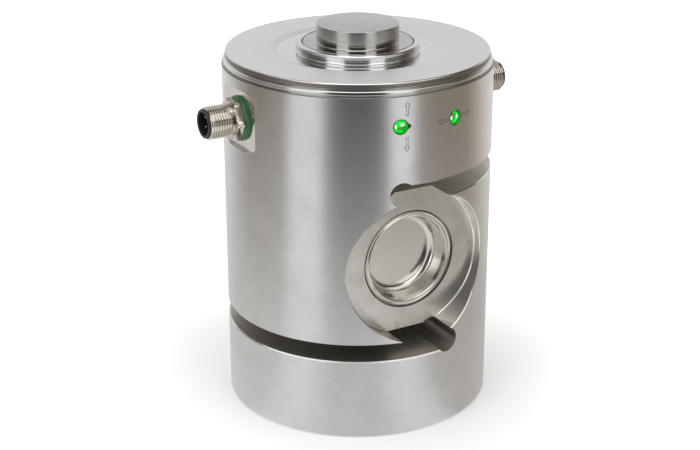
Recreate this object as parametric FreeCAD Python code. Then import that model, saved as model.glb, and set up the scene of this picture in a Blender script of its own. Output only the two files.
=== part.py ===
import FreeCAD, Part

import math
import os

# Compression load cell, millimetres, +Z up. The origin is the centre of the base.
# The gauge pocket faces -Y (and its twin +Y), the two round connectors point along -X and +X.

V = FreeCAD.Vector
UP = V(0, 0, 1)
FRONT = V(0, -1, 0)
REAR = V(0, 1, 0)
LEFT = V(-1, 0, 0)
RIGHT = V(1, 0, 0)

# Sensing body: one turned and milled piece of stainless bar.
body_radius = 50.0
body_height = 130.4
base_chamfer = 0.9
top_chamfer = 0.3
seat_recess_radius = 31.0
seat_recess_depth = 0.6
base_thread_radius = 8.0
base_thread_depth = 20.0
base_thread_chamfer = 1.0

# S-shaped spring: two cross slots, each ending in a round relief hole beyond the centre line.
# The lower slot is placed from the base, the upper one from the chamber floor.
lower_slot_height = 34.05
upper_slot_drop = 8.65
slot_width = 6.4
slot_reach = 9.9
relief_radius = 4.6

# Gauge pocket: a round flat milled into both sides, with a stepped bore down to a thin web.
pocket_radius = 28.4
pocket_depth = 12.4
shoulder_radius = 18.8
shoulder_depth = 1.3
bore_radius = 17.2
web_thickness = 8.0

# Sharp edges where cutters leave the outer wall are broken with a small chamfer.
edge_break = 0.4
cut_overrun = 1.0
wall_samples = 4
tolerance = 1e-4

# Electronics chamber: a ring-shaped space round the loaded column, under the cover.
chamber_wall = 6.5
chamber_depth = 27.4
chamber_corner = 2.0
wall_hole_run_in = 5.0
column_radius = 19.0
column_drop = 4.4
socket_radius = 12.1
socket_depth = 8.0

# Wire ducts, drilled on a slant from above each terminal pad, past the end of the upper slot.
duct_radius = 1.75
duct_offset = 10.0
duct_top_side = 23.2
duct_overrun = 2.0

# Load button, with heights above the column it stands on.
button_radius = 15.2
button_height = 18.4
button_crown = 0.35
button_edge = 0.5
button_foot = 0.5
flange_radius = 20.35
flange_height = 11.3
shank_clearance = 0.1
button_floor_gap = 0.3

# Cover: a thin turned diaphragm with a thick rim, a shallow step and an upturned neck.
rim_ring_height = 2.2
rim_ring_inset = 0.6
rim_ring_bead = 0.9
cover_inset = 1.3
cover_rim_height = 2.4
cover_edge = 1.1
cover_lower_edge = 0.5
cover_spigot_depth = 1.2
cover_spigot_width = 1.0
spigot_clearance = 0.15
membrane = 0.8
step_outer_radius = 32.6
step_inner_radius = 29.6
step_depth = 1.3
bend_inside = 0.8
neck_wall = 1.9
neck_rise = 0.1
neck_fillet = 0.4
collar_clearance = 0.25
collar_height = 2.2
collar_radius = 22.85
collar_bead = 0.85

# Sealing cups pressed into the gauge bores.
cup_wall = 0.8
cup_depth = 7.8
cup_mouth_radius = 16.2
cup_floor_radius = 14.6
cup_corner = 1.3
cup_crest_depth = 0.3
cup_crest_share = 0.45
cup_clearance = 0.2

# Strain gauges and their terminal pads, bonded to the web.
gauge_size = (13.0, 10.0)
gauge_film = 0.15
grid_length = 4.6
grid_width = 3.2
grid_height = 0.1
pad_size = (4.0, 9.0)
pad_thickness = 1.0
pad_side = 9.0
pad_rise = 4.8
lead_radius = 1.1
lead_bend_inside = 0.9

# Circuit board and its fixings.
board_thickness = 1.6
board_gap = 3.0
board_wall_gap = 1.2
board_column_gap = 1.4
fixing_wall_gap = 7.0
fixing_count = 4
fixing_start = 45.0
spacer_flats = 5.0
screw_radius = 1.25
screw_head_radius = 2.3
screw_head_height = 1.5
screw_socket_flats = 1.5
screw_grip = 4.0
screw_clearance = 0.15

# Parts soldered to the board: length, width and height, then the angle of the place. The chips stand
# on the middle circle of the board, the capacitors and headers at a gap from its inner and outer edge.
chip_leg_pitch = 1.27
chip_leg_width = 0.5
chip_leg_reach = 0.9
chip_leg_height = 0.3
chip_lift = 0.15
processor_size = (9.6, 9.6, 1.4)
processor_angle = 90.0
converter_size = (12.6, 7.4, 2.2)
converter_angle = 116.0
driver_size = (5.0, 4.0, 1.5)
driver_angle = 66.0
tilt_size = (7.0, 7.0, 2.4)
tilt_angle = 270.0
tilt_corner = 0.8
capacitor_radius = 3.1
capacitor_height = 6.8
capacitor_angles = (22.0, -22.0)
capacitor_gap = 5.5
capacitor_edge = 0.35
groove_depth = 0.35
groove_height = 1.7
groove_half_width = 0.35
header_size = (7.0, 10.0, 4.0)
header_gap = 5.2
header_wall = 0.8
header_socket_depth = 1.5

# Status lamps, 5 mm round, in right-angle holders on the board.
lamp_rise = 16.5
lamp_angle = 12.8
lamp_radius = 2.5
lamp_tip_flat = 0.1
lamp_length = 8.6
lamp_proud = 0.25
lamp_flange_radius = 2.9
lamp_flange = 1.0
lamp_hole_radius = 2.8
holder_width = 6.4
holder_depth = 4.4
holder_above = 3.4
holder_chamfer = 1.0

# Round sensor connectors, M12 thread, screwed into a flat in the body wall.
connector_rise = 12.2
connector_seat_depth = 1.45
connector_cutter = 11.2
connector_travel = 5.0
seal_outer_radius = 8.25
seal_inner_radius = 6.15
seal_thickness = 1.45
seal_flat = 0.4
hex_flats = 14.0
hex_height = 3.0
hex_chamfer_drop = 0.5
neck_length = 0.8
neck_radius = 5.2
thread_radius = 6.0
thread_length = 8.35
thread_chamfer = 0.5
tail_length = 7.0
tail_clearance = 0.05
shell_bore = 4.95
shell_back_bore = 3.6
shell_back_wall = 4.0
insert_clearance = 0.05
insert_head_radius = 5.3
insert_head = 0.9
insert_edge = 0.3
insert_socket_radius = 4.2
insert_socket_depth = 8.0
key_width = 1.3
key_depth = 0.45
pin_radius = 0.5
pin_tip_flat = 0.05
pin_circle = 2.5
pin_count = 4
pin_stand = 6.3
pin_tail = 2.0
pin_clearance = 0.03
connector_lead_radius = 2.4
connector_lead_bend_inside = 0.6

# Radii and places that follow from the sizes above.
flat_offset = body_radius - pocket_depth
chamber_radius = body_radius - chamber_wall
rim_ring_radius = body_radius - rim_ring_inset
cover_radius = body_radius - cover_inset
connector_flat = body_radius - connector_seat_depth
board_outer_radius = chamber_radius - board_wall_gap
board_inner_radius = column_radius + board_column_gap
chip_circle = (board_inner_radius + board_outer_radius) / 2
capacitor_circle = board_inner_radius + capacitor_gap + capacitor_radius
header_circle = board_outer_radius - header_gap - header_size[0] / 2
fixing_circle = chamber_radius - fixing_wall_gap

# Heights that follow from the sizes above.
chamber_floor = body_height - chamber_depth
low_slot = lower_slot_height
high_slot = chamber_floor - upper_slot_drop
gauge_height = (low_slot + high_slot) / 2
pad_height = gauge_height + pad_rise
column_top = body_height - column_drop
button_top = column_top + button_height
flange_top = column_top + flange_height
lamp_height = chamber_floor + lamp_rise
connector_height = chamber_floor + connector_rise
ring_seat = body_height
cover_seat = ring_seat + rim_ring_height
cover_top = cover_seat + cover_rim_height
neck_top = cover_top + neck_rise
neck_inner_radius = flange_radius + collar_clearance
neck_outer_radius = neck_inner_radius + neck_wall
board_bottom = chamber_floor + board_gap
board_top = board_bottom + board_thickness
lamp_back = body_radius + lamp_proud - lamp_length
shell_seat = seal_thickness
shell_end = shell_seat + hex_height + neck_length + thread_length


def rounded_wire(points):
    """Closed wire in the XZ plane through (x, z) or (x, z, corner radius) points."""
    count = len(points)
    corners = [V(p[0], 0, p[1]) for p in points]
    radii = [p[2] if len(p) > 2 else 0.0 for p in points]
    starts, ends, arcs = [], [], []
    for i in range(count):
        here, radius = corners[i], radii[i]
        if radius == 0:
            starts.append(here)
            ends.append(here)
            arcs.append(None)
            continue
        back = (corners[i - 1] - here).normalize()
        ahead = (corners[(i + 1) % count] - here).normalize()
        half = back.getAngle(ahead) / 2
        setback = radius / math.tan(half)
        inward = (back + ahead).normalize()
        start = here + back * setback
        end = here + ahead * setback
        middle = here + inward * (radius / math.sin(half) - radius)
        starts.append(start)
        ends.append(end)
        arcs.append(Part.Arc(start, middle, end).toShape())
    edges = []
    for i in range(count):
        if arcs[i]:
            edges.append(arcs[i])
        following = starts[(i + 1) % count]
        if ends[i].distanceToPoint(following) > 1e-6:
            edges.append(Part.LineSegment(ends[i], following).toShape())
    return Part.Wire(edges)


def turned(points):
    """Solid turned about Z from a half section."""
    return Part.Face(rounded_wire(points)).revolve(V(0, 0, 0), UP, 360)


def facing(shape, origin, direction):
    """The shape with its local Z turned to a direction and its origin moved to a point."""
    placed = shape.copy()
    placed.Placement = FreeCAD.Placement(origin, FreeCAD.Rotation(UP, direction))
    return placed


def rod(radius, start, end):
    """Cylinder between two points."""
    return Part.makeCylinder(radius, (end - start).Length, start, end - start)


def block(x_low, x_high, y_low, y_high, z_low, z_high):
    return Part.makeBox(x_high - x_low, y_high - y_low, z_high - z_low, V(x_low, y_low, z_low))


def hexagon(flats, height, base=V(0, 0, 0), turn=0.0):
    """Hexagonal prism along Z, measured across its flats."""
    corner = flats / 2 / math.cos(math.pi / 6)
    angles = [math.radians(turn + 60 * i) for i in range(7)]
    outline = Part.makePolygon([base + V(corner * math.cos(a), corner * math.sin(a), 0) for a in angles])
    return Part.Face(outline).extrude(UP * height)


def polar(radius, degrees, height=0.0):
    return V(radius * math.cos(math.radians(degrees)), radius * math.sin(math.radians(degrees)), height)


def bent_tube(points, bend, radius):
    """Round tube along straight runs joined by tangent arcs."""
    edges, last = [], points[0]
    for i in range(1, len(points) - 1):
        here = points[i]
        back = (points[i - 1] - here).normalize()
        ahead = (points[i + 1] - here).normalize()
        half = back.getAngle(ahead) / 2
        setback = bend / math.tan(half)
        start, end = here + back * setback, here + ahead * setback
        middle = here + (back + ahead).normalize() * (bend / math.sin(half) - bend)
        edges.append(Part.LineSegment(last, start).toShape())
        edges.append(Part.Arc(start, middle, end).toShape())
        last = end
    edges.append(Part.LineSegment(last, points[-1]).toShape())
    section = Part.Wire(Part.makeCircle(radius, points[0], points[1] - points[0]))
    return Part.Wire(edges).makePipeShell([section], True, False)


# Sensing body


def body_blank():
    """Turned blank: base seat, outer wall, chamber, loaded column and button socket."""
    return turned([
        (0, seat_recess_depth),
        (seat_recess_radius, seat_recess_depth),
        (seat_recess_radius + seat_recess_depth, 0),
        (body_radius - base_chamfer, 0),
        (body_radius, base_chamfer),
        (body_radius, body_height - top_chamfer),
        (body_radius - top_chamfer, body_height),
        (chamber_radius, body_height),
        (chamber_radius, chamber_floor, chamber_corner),
        (column_radius, chamber_floor, chamber_corner),
        (column_radius, column_top),
        (socket_radius, column_top),
        (socket_radius, column_top - socket_depth),
        (0, column_top - socket_depth),
    ])


def cross_slot(height, side):
    """One slot, open to one side (-1 left, 1 right), with its round relief hole."""
    reach = -side * slot_reach
    outside = side * (body_radius + slot_width)
    x_low, x_high = min(reach, outside), max(reach, outside)
    half = slot_width / 2
    gap = block(x_low, x_high, -body_radius, body_radius, height - half, height + half)
    relief = rod(relief_radius, V(reach, -body_radius, height), V(reach, body_radius, height))
    return gap.fuse(relief)


def gauge_pocket(direction):
    """Round flat, shoulder for the cup and gauge bore, on one side of the web."""
    centre = V(0, 0, gauge_height)

    def along(radius, near, far):
        return rod(radius, centre + direction * near, centre + direction * far)

    flat = along(pocket_radius, flat_offset, body_radius + cut_overrun)
    shoulder = along(shoulder_radius, flat_offset - shoulder_depth, flat_offset)
    bore = along(bore_radius, web_thickness / 2, flat_offset)
    return [flat, shoulder, bore]


def duct_point(height, y):
    """Point of a duct's centre line, which slants out from the terminal pad to the chamber floor."""
    share = (height - pad_height) / (chamber_floor - pad_height)
    return V(-pad_side - share * (duct_top_side - pad_side), y, height)


def wire_duct(y):
    return rod(duct_radius, duct_point(pad_height, y), duct_point(chamber_floor + duct_overrun, y))


def connector_seat(direction):
    """Milled flat with round ends and the tapped hole through the wall behind it."""
    centre = V(0, 0, connector_height)
    side = V(direction.y, -direction.x, 0) * connector_travel
    near, far = centre + direction * connector_flat, centre + direction * (body_radius + cut_overrun)
    ends = [rod(connector_cutter, near + side * s, far + side * s) for s in (-1, 1)]
    middle = block(
        connector_flat, body_radius + cut_overrun,
        -connector_travel, connector_travel,
        connector_height - connector_cutter, connector_height + connector_cutter,
    )
    if direction.x < 0:
        middle.rotate(V(0, 0, 0), UP, 180)
    hole = rod(thread_radius + tail_clearance, centre + direction * (chamber_radius - wall_hole_run_in), near)
    return [ends[0].fuse(ends[1]).fuse(middle), hole]


def lamp_direction(side):
    """Radial direction of a lamp, left (-1) or right (1) of the front."""
    angle = math.radians(lamp_angle) * side
    return V(math.sin(angle), -math.cos(angle), 0)


def lamp_hole(side):
    axis = lamp_direction(side)
    centre = V(0, 0, lamp_height)
    inside, outside = chamber_radius - wall_hole_run_in, body_radius + cut_overrun
    return rod(lamp_hole_radius, centre + axis * inside, centre + axis * outside)


def fixing_places(height):
    step = 360.0 / fixing_count
    return [polar(fixing_circle, fixing_start + step * i, height) for i in range(fixing_count)]


def on_outer_wall(edge):
    """True for an edge that lies on the outer wall, away from its top and bottom rims."""
    step = (edge.LastParameter - edge.FirstParameter) / wall_samples
    points = [edge.valueAt(edge.FirstParameter + step * i) for i in range(wall_samples + 1)]
    on_wall = all(abs(math.hypot(p.x, p.y) - body_radius) < tolerance for p in points)
    inside = all(base_chamfer + tolerance < p.z < body_height - top_chamfer - tolerance for p in points)
    return on_wall and inside


def slot_bevel(height, side):
    """Ring with slanted faces, as long as the slot, that breaks the slot's edges on the outer wall."""
    half, outside = slot_width / 2, edge_break + cut_overrun
    ring = turned([
        (body_radius - edge_break, height - half),
        (body_radius + cut_overrun, height - half - outside),
        (body_radius + cut_overrun, height + half + outside),
        (body_radius - edge_break, height + half),
    ])
    reach, far = -side * slot_reach, side * (body_radius + 2 * cut_overrun)
    side_block = block(
        min(reach, far), max(reach, far), -body_radius - 2 * cut_overrun, body_radius + 2 * cut_overrun,
        height - slot_width, height + slot_width,
    )
    return ring.common(side_block)


def spring_blank():
    """The turned blank with its pocket flats and slots, and the edges these leave on the wall broken."""
    body = body_blank()
    for direction in (FRONT, REAR):
        body = body.cut(gauge_pocket(direction)[0])
    body = body.makeChamfer(edge_break, [edge for edge in body.Edges if on_outer_wall(edge)])
    for height, side in ((low_slot, -1), (high_slot, 1)):
        body = body.cut(cross_slot(height, side)).cut(slot_bevel(height, side))
    return body


def sensing_body():
    body = spring_blank()
    cuts = []
    for direction in (FRONT, REAR):
        cuts += gauge_pocket(direction)[1:]
        cuts.append(wire_duct(direction.y * duct_offset))
    for direction in (LEFT, RIGHT):
        cuts += connector_seat(direction)
    for side in (-1, 1):
        cuts.append(lamp_hole(side))
    thread_top = seat_recess_depth + base_thread_depth
    cuts.append(rod(base_thread_radius, V(0, 0, 0), V(0, 0, thread_top)))
    lead_in = base_thread_radius + base_thread_chamfer
    cuts.append(Part.makeCone(lead_in, base_thread_radius, base_thread_chamfer, V(0, 0, seat_recess_depth)))
    for place in fixing_places(chamber_floor):
        cuts.append(rod(screw_radius + screw_clearance, place - UP * screw_grip, place))
    for cut in cuts:
        body = body.cut(cut)
    return body


# Load button, cover and weld rings


def load_button():
    """Button head, weld flange and the shank that centres in the column."""
    seat = column_top
    shank_end = column_top - socket_depth + button_floor_gap
    crown_radius = (button_radius ** 2 + button_crown ** 2) / (2 * button_crown)
    blank = turned([
        (0, shank_end),
        (socket_radius - shank_clearance, shank_end, button_edge),
        (socket_radius - shank_clearance, seat),
        (flange_radius, seat),
        (flange_radius, flange_top, button_edge),
        (button_radius, flange_top, button_foot),
        (button_radius, button_top, button_edge),
        (0, button_top),
    ])
    crown = Part.makeSphere(crown_radius, V(0, 0, button_top - crown_radius))
    waist = rod(flange_radius, V(0, 0, shank_end), V(0, 0, button_top - button_crown))
    return blank.common(crown.fuse(waist))


def rim_weld_ring():
    """Bead ring between the body wall and the cover."""
    inner = chamber_radius
    return turned([
        (inner, ring_seat),
        (rim_ring_radius, ring_seat, rim_ring_bead),
        (rim_ring_radius, cover_seat, rim_ring_bead),
        (inner, cover_seat),
    ])


def cover_diaphragm():
    """Cover with a thick rim, a spigot into the ring, a thin stepped membrane and a neck."""
    spigot = chamber_radius - spigot_clearance
    thin_outer = spigot - cover_spigot_width
    low = cover_top - step_depth
    bend_outside = bend_inside + membrane
    return turned([
        (spigot, cover_seat),
        (cover_radius, cover_seat, cover_lower_edge),
        (cover_radius, cover_top, cover_edge),
        (step_outer_radius, cover_top, bend_outside),
        (step_inner_radius, low, bend_inside),
        (neck_outer_radius, low, neck_fillet),
        (neck_outer_radius, neck_top),
        (neck_inner_radius, neck_top),
        (neck_inner_radius, low - membrane),
        (step_inner_radius, low - membrane, bend_outside),
        (step_outer_radius, cover_top - membrane, bend_inside),
        (thin_outer, cover_top - membrane, bend_inside),
        (thin_outer, cover_seat - cover_spigot_depth),
        (spigot, cover_seat - cover_spigot_depth),
    ])


def collar_weld_ring():
    """Bead ring on the neck of the cover, round the flange of the button."""
    return turned([
        (neck_inner_radius, neck_top),
        (collar_radius, neck_top, collar_bead),
        (collar_radius, neck_top + collar_height, collar_bead),
        (neck_inner_radius, neck_top + collar_height, collar_bead / 2),
    ])


def seal_cup(direction):
    """Thin pressed cup: flat lip on the shoulder, rolled crest, tapered wall, flat floor."""
    lip = shoulder_radius - cup_clearance
    outer = bore_radius - cup_clearance
    crest_rounding = (outer - cup_mouth_radius) * cup_crest_share
    cup = turned([
        (0, -cup_depth),
        (cup_floor_radius, -cup_depth, cup_corner),
        (cup_mouth_radius, -shoulder_depth - cup_wall, cup_corner),
        (cup_mouth_radius, -cup_crest_depth, crest_rounding),
        (outer + cup_wall, -cup_crest_depth, crest_rounding),
        (outer + cup_wall, cup_wall - shoulder_depth),
        (lip, cup_wall - shoulder_depth),
        (lip, -shoulder_depth),
        (outer, -shoulder_depth),
        (outer, -shoulder_depth - cup_wall, cup_corner),
        (cup_floor_radius + cup_wall, -cup_depth - cup_wall, cup_corner + cup_wall),
        (0, -cup_depth - cup_wall),
    ])
    return facing(cup, V(0, 0, gauge_height) + direction * flat_offset, direction)


# Strain gauges


def strain_gauge(direction):
    """Carrier film with two measuring grids at 45 degrees to the load axis."""
    length, width = gauge_size
    film = block(-length / 2, length / 2, -width / 2, width / 2, 0, gauge_film)
    grid = block(
        -grid_length / 2, grid_length / 2, -grid_width / 2, grid_width / 2, gauge_film, gauge_film + grid_height
    )
    for side in (-1, 1):
        leaf = grid.copy()
        leaf.rotate(V(0, 0, 0), UP, 45 * side)
        leaf.translate(V(side * length / 4, 0, 0))
        film = film.fuse(leaf)
    return facing(film, V(0, 0, gauge_height) + direction * (web_thickness / 2), direction)


def terminal_pad(direction):
    """Solder terminal bonded beside the gauge."""
    near, far = web_thickness / 2, web_thickness / 2 + pad_thickness
    y_low, y_high = sorted((direction.y * near, direction.y * far))
    half_length, half_height = pad_size[0] / 2, pad_size[1] / 2
    return block(
        -pad_side - half_length, -pad_side + half_length, y_low, y_high,
        pad_height - half_height, pad_height + half_height,
    )


def gauge_leads(direction):
    """Lead bundle from the terminal pad through the duct to the underside of the board."""
    y = direction.y * duct_offset
    corner = duct_point(pad_height, y)
    start = V(corner.x, direction.y * (web_thickness / 2 + pad_thickness), corner.z)
    top = duct_point(chamber_floor, y)
    solder = V(top.x, y, board_bottom)
    return bent_tube([start, corner, top, solder], lead_radius + lead_bend_inside, lead_radius)


# Circuit board


def circuit_board():
    """Ring board round the column, with its fixing holes."""
    board = turned([
        (board_inner_radius, board_bottom),
        (board_outer_radius, board_bottom),
        (board_outer_radius, board_top),
        (board_inner_radius, board_top),
    ])
    for place in fixing_places(board_bottom):
        board = board.cut(rod(screw_radius + screw_clearance, place, place + UP * board_thickness))
    return board


def board_spacers():
    """Hexagonal spacers between the chamber floor and the board."""
    spacers = []
    for place in fixing_places(chamber_floor):
        blank = hexagon(spacer_flats, board_gap, place)
        spacers.append(blank.cut(rod(screw_radius + screw_clearance, place, place + UP * board_gap)))
    return Part.makeCompound(spacers)


def board_screws():
    """Socket screws that hold the board down on its spacers."""
    screws = []
    for place in fixing_places(0):
        head_base = place + UP * board_top
        shank = rod(screw_radius, place + UP * (chamber_floor - screw_grip), head_base)
        head = rod(screw_head_radius, head_base, head_base + UP * screw_head_height)
        recess_base = head_base + UP * (screw_head_height / 2)
        screws.append(shank.fuse(head).cut(hexagon(screw_socket_flats, screw_head_height, recess_base)))
    return Part.makeCompound(screws)


def on_board(shape, radius, degrees):
    """A part built at the origin, turned to face outwards at a radius and angle of the board."""
    placed = shape.copy()
    placed.rotate(V(0, 0, 0), UP, degrees)
    placed.translate(polar(radius, degrees, board_top))
    return placed


def chip(size, degrees):
    """Moulded chip with a row of bent legs on two sides."""
    length, width, height = size
    body = block(-length / 2, length / 2, -width / 2, width / 2, chip_lift, height)
    body = body.makeChamfer(chip_lift, [e for e in body.Edges if abs(e.CenterOfMass.z - height) < 1e-6])
    count = int((length - chip_leg_width) / chip_leg_pitch)
    for i in range(count):
        x = (i - (count - 1) / 2) * chip_leg_pitch
        half = chip_leg_width / 2
        reach = width / 2 + chip_leg_reach
        foot = block(x - half, x + half, -reach, reach, 0, chip_leg_height)
        body = body.fuse(foot)
    return on_board(body, chip_circle, degrees)


def tilt_sensor():
    """Sealed can of the inclination sensor."""
    length, width, height = tilt_size
    can = block(-length / 2, length / 2, -width / 2, width / 2, 0, height)
    can = can.makeFillet(tilt_corner, [e for e in can.Edges if abs(e.CenterOfMass.z) > 1e-6])
    return on_board(can, chip_circle, tilt_angle)


def power_capacitors():
    """Two upright capacitor cans, each with a crimp groove near its foot."""
    can = turned([
        (0, 0),
        (capacitor_radius, 0),
        (capacitor_radius, groove_height - groove_half_width),
        (capacitor_radius - groove_depth, groove_height),
        (capacitor_radius, groove_height + groove_half_width),
        (capacitor_radius, capacitor_height, capacitor_edge),
        (0, capacitor_height),
    ])
    return Part.makeCompound([on_board(can, capacitor_circle, angle) for angle in capacitor_angles])


def lead_header(degrees):
    """Wire header: a walled housing that the lead bundle enters from above."""
    length, width, height = header_size
    housing = block(-length / 2, length / 2, -width / 2, width / 2, 0, height)
    housing = housing.makeChamfer(
        header_wall / 2, [e for e in housing.Edges if abs(e.CenterOfMass.z - height) < 1e-6]
    )
    socket = rod(
        connector_lead_radius + tail_clearance, V(0, 0, height - header_socket_depth), V(0, 0, height)
    )
    return on_board(housing.cut(socket), header_circle, degrees)


# Status lamps


def lamp(side):
    """Round lamp: flange, barrel and domed tip, lying along its radial hole."""
    shape = turned([
        (0, 0),
        (lamp_flange_radius, 0),
        (lamp_flange_radius, lamp_flange),
        (lamp_radius, lamp_flange),
        (lamp_radius, lamp_length, lamp_radius - lamp_tip_flat),
        (0, lamp_length),
    ])
    axis = lamp_direction(side)
    return facing(shape, V(0, 0, lamp_height) + axis * lamp_back, axis)


def lamp_holder(side):
    """Right-angle holder that carries a lamp above the board."""
    height = lamp_height - board_top + holder_above
    front = lamp_back
    holder = block(front - holder_depth, front, -holder_width / 2, holder_width / 2, 0, height)
    rear_top = [
        e for e in holder.Edges
        if abs(e.CenterOfMass.z - height) < 1e-6 and abs(e.CenterOfMass.x - front + holder_depth) < 1e-6
    ]
    holder = holder.makeChamfer(holder_chamfer, rear_top)
    holder.rotate(V(0, 0, 0), UP, -90 + lamp_angle * side)
    holder.translate(UP * board_top)
    return holder


# Connectors, built along +Z with the flat in the body wall at z = 0


def on_wall(shape, direction):
    """A connector part set on its flat, with its key upwards."""
    placed = shape.copy()
    placed.rotate(V(0, 0, 0), V(0, 1, 0), 90)
    if direction.x < 0:
        placed.rotate(V(0, 0, 0), UP, 180)
    placed.translate(V(0, 0, connector_height) + direction * connector_flat)
    return placed


def connector_seal():
    rounding = (seal_thickness - seal_flat) / 2
    return turned([
        (seal_inner_radius, 0),
        (seal_outer_radius, 0, rounding),
        (seal_outer_radius, seal_thickness, rounding),
        (seal_inner_radius, seal_thickness),
    ])


def connector_shell():
    """Nickel-plated shell: threaded tail, hexagon, relief neck and threaded barrel."""
    hex_top = shell_seat + hex_height
    neck_end = hex_top + neck_length
    barrel = turned([
        (0, -tail_length),
        (thread_radius - thread_chamfer, -tail_length),
        (thread_radius, thread_chamfer - tail_length),
        (thread_radius, shell_seat),
        (hex_flats / 2, shell_seat),
        (hex_flats / 2, hex_top),
        (neck_radius, hex_top),
        (neck_radius, neck_end),
        (thread_radius, neck_end),
        (thread_radius, shell_end - thread_chamfer),
        (thread_radius - thread_chamfer, shell_end),
        (0, shell_end),
    ])
    corner = hex_flats / 2 / math.cos(math.pi / 6)
    nut = hexagon(hex_flats, hex_height, V(0, 0, shell_seat), 30.0)
    chamfered = turned([
        (0, shell_seat),
        (corner, shell_seat),
        (corner, hex_top - hex_chamfer_drop),
        (hex_flats / 2, hex_top),
        (0, hex_top),
    ])
    shell = barrel.fuse(nut.common(chamfered))
    back = shell_back_wall - tail_length
    shell = shell.cut(rod(shell_bore, V(0, 0, back), V(0, 0, shell_end)))
    return shell.cut(rod(shell_back_bore, V(0, 0, -tail_length), V(0, 0, back)))


def pin_places():
    step = 360.0 / pin_count
    return [polar(pin_circle, step / 2 + step * i) for i in range(pin_count)]


def connector_insert():
    """Moulded insulator with the plug-side socket, its key and the pin holes."""
    back = shell_back_wall - tail_length
    face = shell_end + insert_head
    socket_floor = face - insert_socket_depth
    insert = turned([
        (0, back),
        (shell_bore - insert_clearance, back),
        (shell_bore - insert_clearance, shell_end),
        (insert_head_radius, shell_end),
        (insert_head_radius, face, insert_edge),
        (insert_socket_radius, face),
        (insert_socket_radius, socket_floor),
        (0, socket_floor),
    ])
    notch = block(
        -insert_socket_radius - key_depth, -insert_socket_radius + key_depth,
        -key_width / 2, key_width / 2, socket_floor, face,
    )
    insert = insert.cut(notch)
    for place in pin_places():
        insert = insert.cut(rod(pin_radius + pin_clearance, place + UP * back, place + UP * socket_floor))
    return insert


def connector_pins():
    """Contact pins with rounded tips, standing in the insert."""
    back = shell_back_wall - tail_length
    tip = shell_end + insert_head - insert_socket_depth + pin_stand
    pin = turned([
        (0, back - pin_tail),
        (pin_radius, back - pin_tail),
        (pin_radius, tip, pin_radius - pin_tip_flat),
        (0, tip),
    ])
    pins = []
    for place in pin_places():
        placed = pin.copy()
        placed.translate(place)
        pins.append(placed)
    return Part.makeCompound(pins)


def connector_leads(direction):
    """Lead bundle from behind the pins, bent down into its header on the board."""
    reach = connector_flat - tail_length + shell_back_wall - pin_tail
    header_x = header_circle
    z_end = board_top + header_size[2] - header_socket_depth
    start = direction * reach + UP * connector_height
    corner = direction * header_x + UP * connector_height
    end = direction * header_x + UP * z_end
    bend = connector_lead_radius + connector_lead_bend_inside
    return bent_tube([start, corner, end], bend, connector_lead_radius)


def build():
    """All pieces by name."""
    parts = {
        "sensing_body": sensing_body(),
        "load_button": load_button(),
        "rim_weld_ring": rim_weld_ring(),
        "cover_diaphragm": cover_diaphragm(),
        "collar_weld_ring": collar_weld_ring(),
        "circuit_board": circuit_board(),
        "board_spacers": board_spacers(),
        "board_screws": board_screws(),
        "processor_chip": chip(processor_size, processor_angle),
        "converter_chip": chip(converter_size, converter_angle),
        "driver_chip": chip(driver_size, driver_angle),
        "tilt_sensor": tilt_sensor(),
        "power_capacitors": power_capacitors(),
    }
    for name, direction in (("front", FRONT), ("rear", REAR)):
        parts[name + "_seal_cup"] = seal_cup(direction)
        parts[name + "_strain_gauge"] = strain_gauge(direction)
        parts[name + "_terminal_pad"] = terminal_pad(direction)
        parts[name + "_gauge_leads"] = gauge_leads(direction)
    for name, side in (("left", -1), ("right", 1)):
        parts[name + "_lamp"] = lamp(side)
        parts[name + "_lamp_holder"] = lamp_holder(side)
    for name, direction, degrees in (("left", LEFT, 180.0), ("right", RIGHT, 0.0)):
        parts[name + "_connector_seal"] = on_wall(connector_seal(), direction)
        parts[name + "_connector_shell"] = on_wall(connector_shell(), direction)
        parts[name + "_connector_insert"] = on_wall(connector_insert(), direction)
        parts[name + "_connector_pins"] = on_wall(connector_pins(), direction)
        parts[name + "_connector_leads"] = connector_leads(direction)
        parts[name + "_lead_header"] = lead_header(degrees)
    return parts


os.makedirs("parts", exist_ok=True)
for node, shape in build().items():
    shape.exportStep("parts/" + node + ".step")
    print(node, len(shape.Solids), "valid" if shape.isValid() else "NOT VALID", round(shape.Volume, 1))
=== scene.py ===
# %% [markdown]
# # A compression load cell in stainless steel
# A load cell weighs what stands on its button. Its body is one steel bar, cut into an S so that it gives
# a little, with strain gauges behind the round cup in its side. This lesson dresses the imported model:
# metal that shows how it was turned, a moulded connector, lit lamps, and a studio that steel can mirror.

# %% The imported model
import math

import bpy
import numpy as np
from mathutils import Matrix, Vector


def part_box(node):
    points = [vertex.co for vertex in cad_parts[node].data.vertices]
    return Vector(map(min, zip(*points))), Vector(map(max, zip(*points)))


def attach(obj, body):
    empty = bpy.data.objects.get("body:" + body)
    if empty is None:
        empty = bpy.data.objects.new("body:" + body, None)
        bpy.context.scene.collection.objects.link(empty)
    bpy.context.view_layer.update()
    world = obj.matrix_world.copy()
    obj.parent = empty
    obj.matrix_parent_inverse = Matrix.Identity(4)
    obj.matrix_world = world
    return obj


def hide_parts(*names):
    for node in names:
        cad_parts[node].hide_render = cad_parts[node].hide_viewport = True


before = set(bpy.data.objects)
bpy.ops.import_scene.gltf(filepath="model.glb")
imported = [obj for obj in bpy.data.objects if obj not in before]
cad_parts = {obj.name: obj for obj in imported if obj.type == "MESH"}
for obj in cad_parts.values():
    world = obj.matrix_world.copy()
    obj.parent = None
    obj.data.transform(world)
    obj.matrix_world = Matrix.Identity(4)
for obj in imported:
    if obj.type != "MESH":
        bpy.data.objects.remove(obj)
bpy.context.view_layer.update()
MM = 0.001


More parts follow.
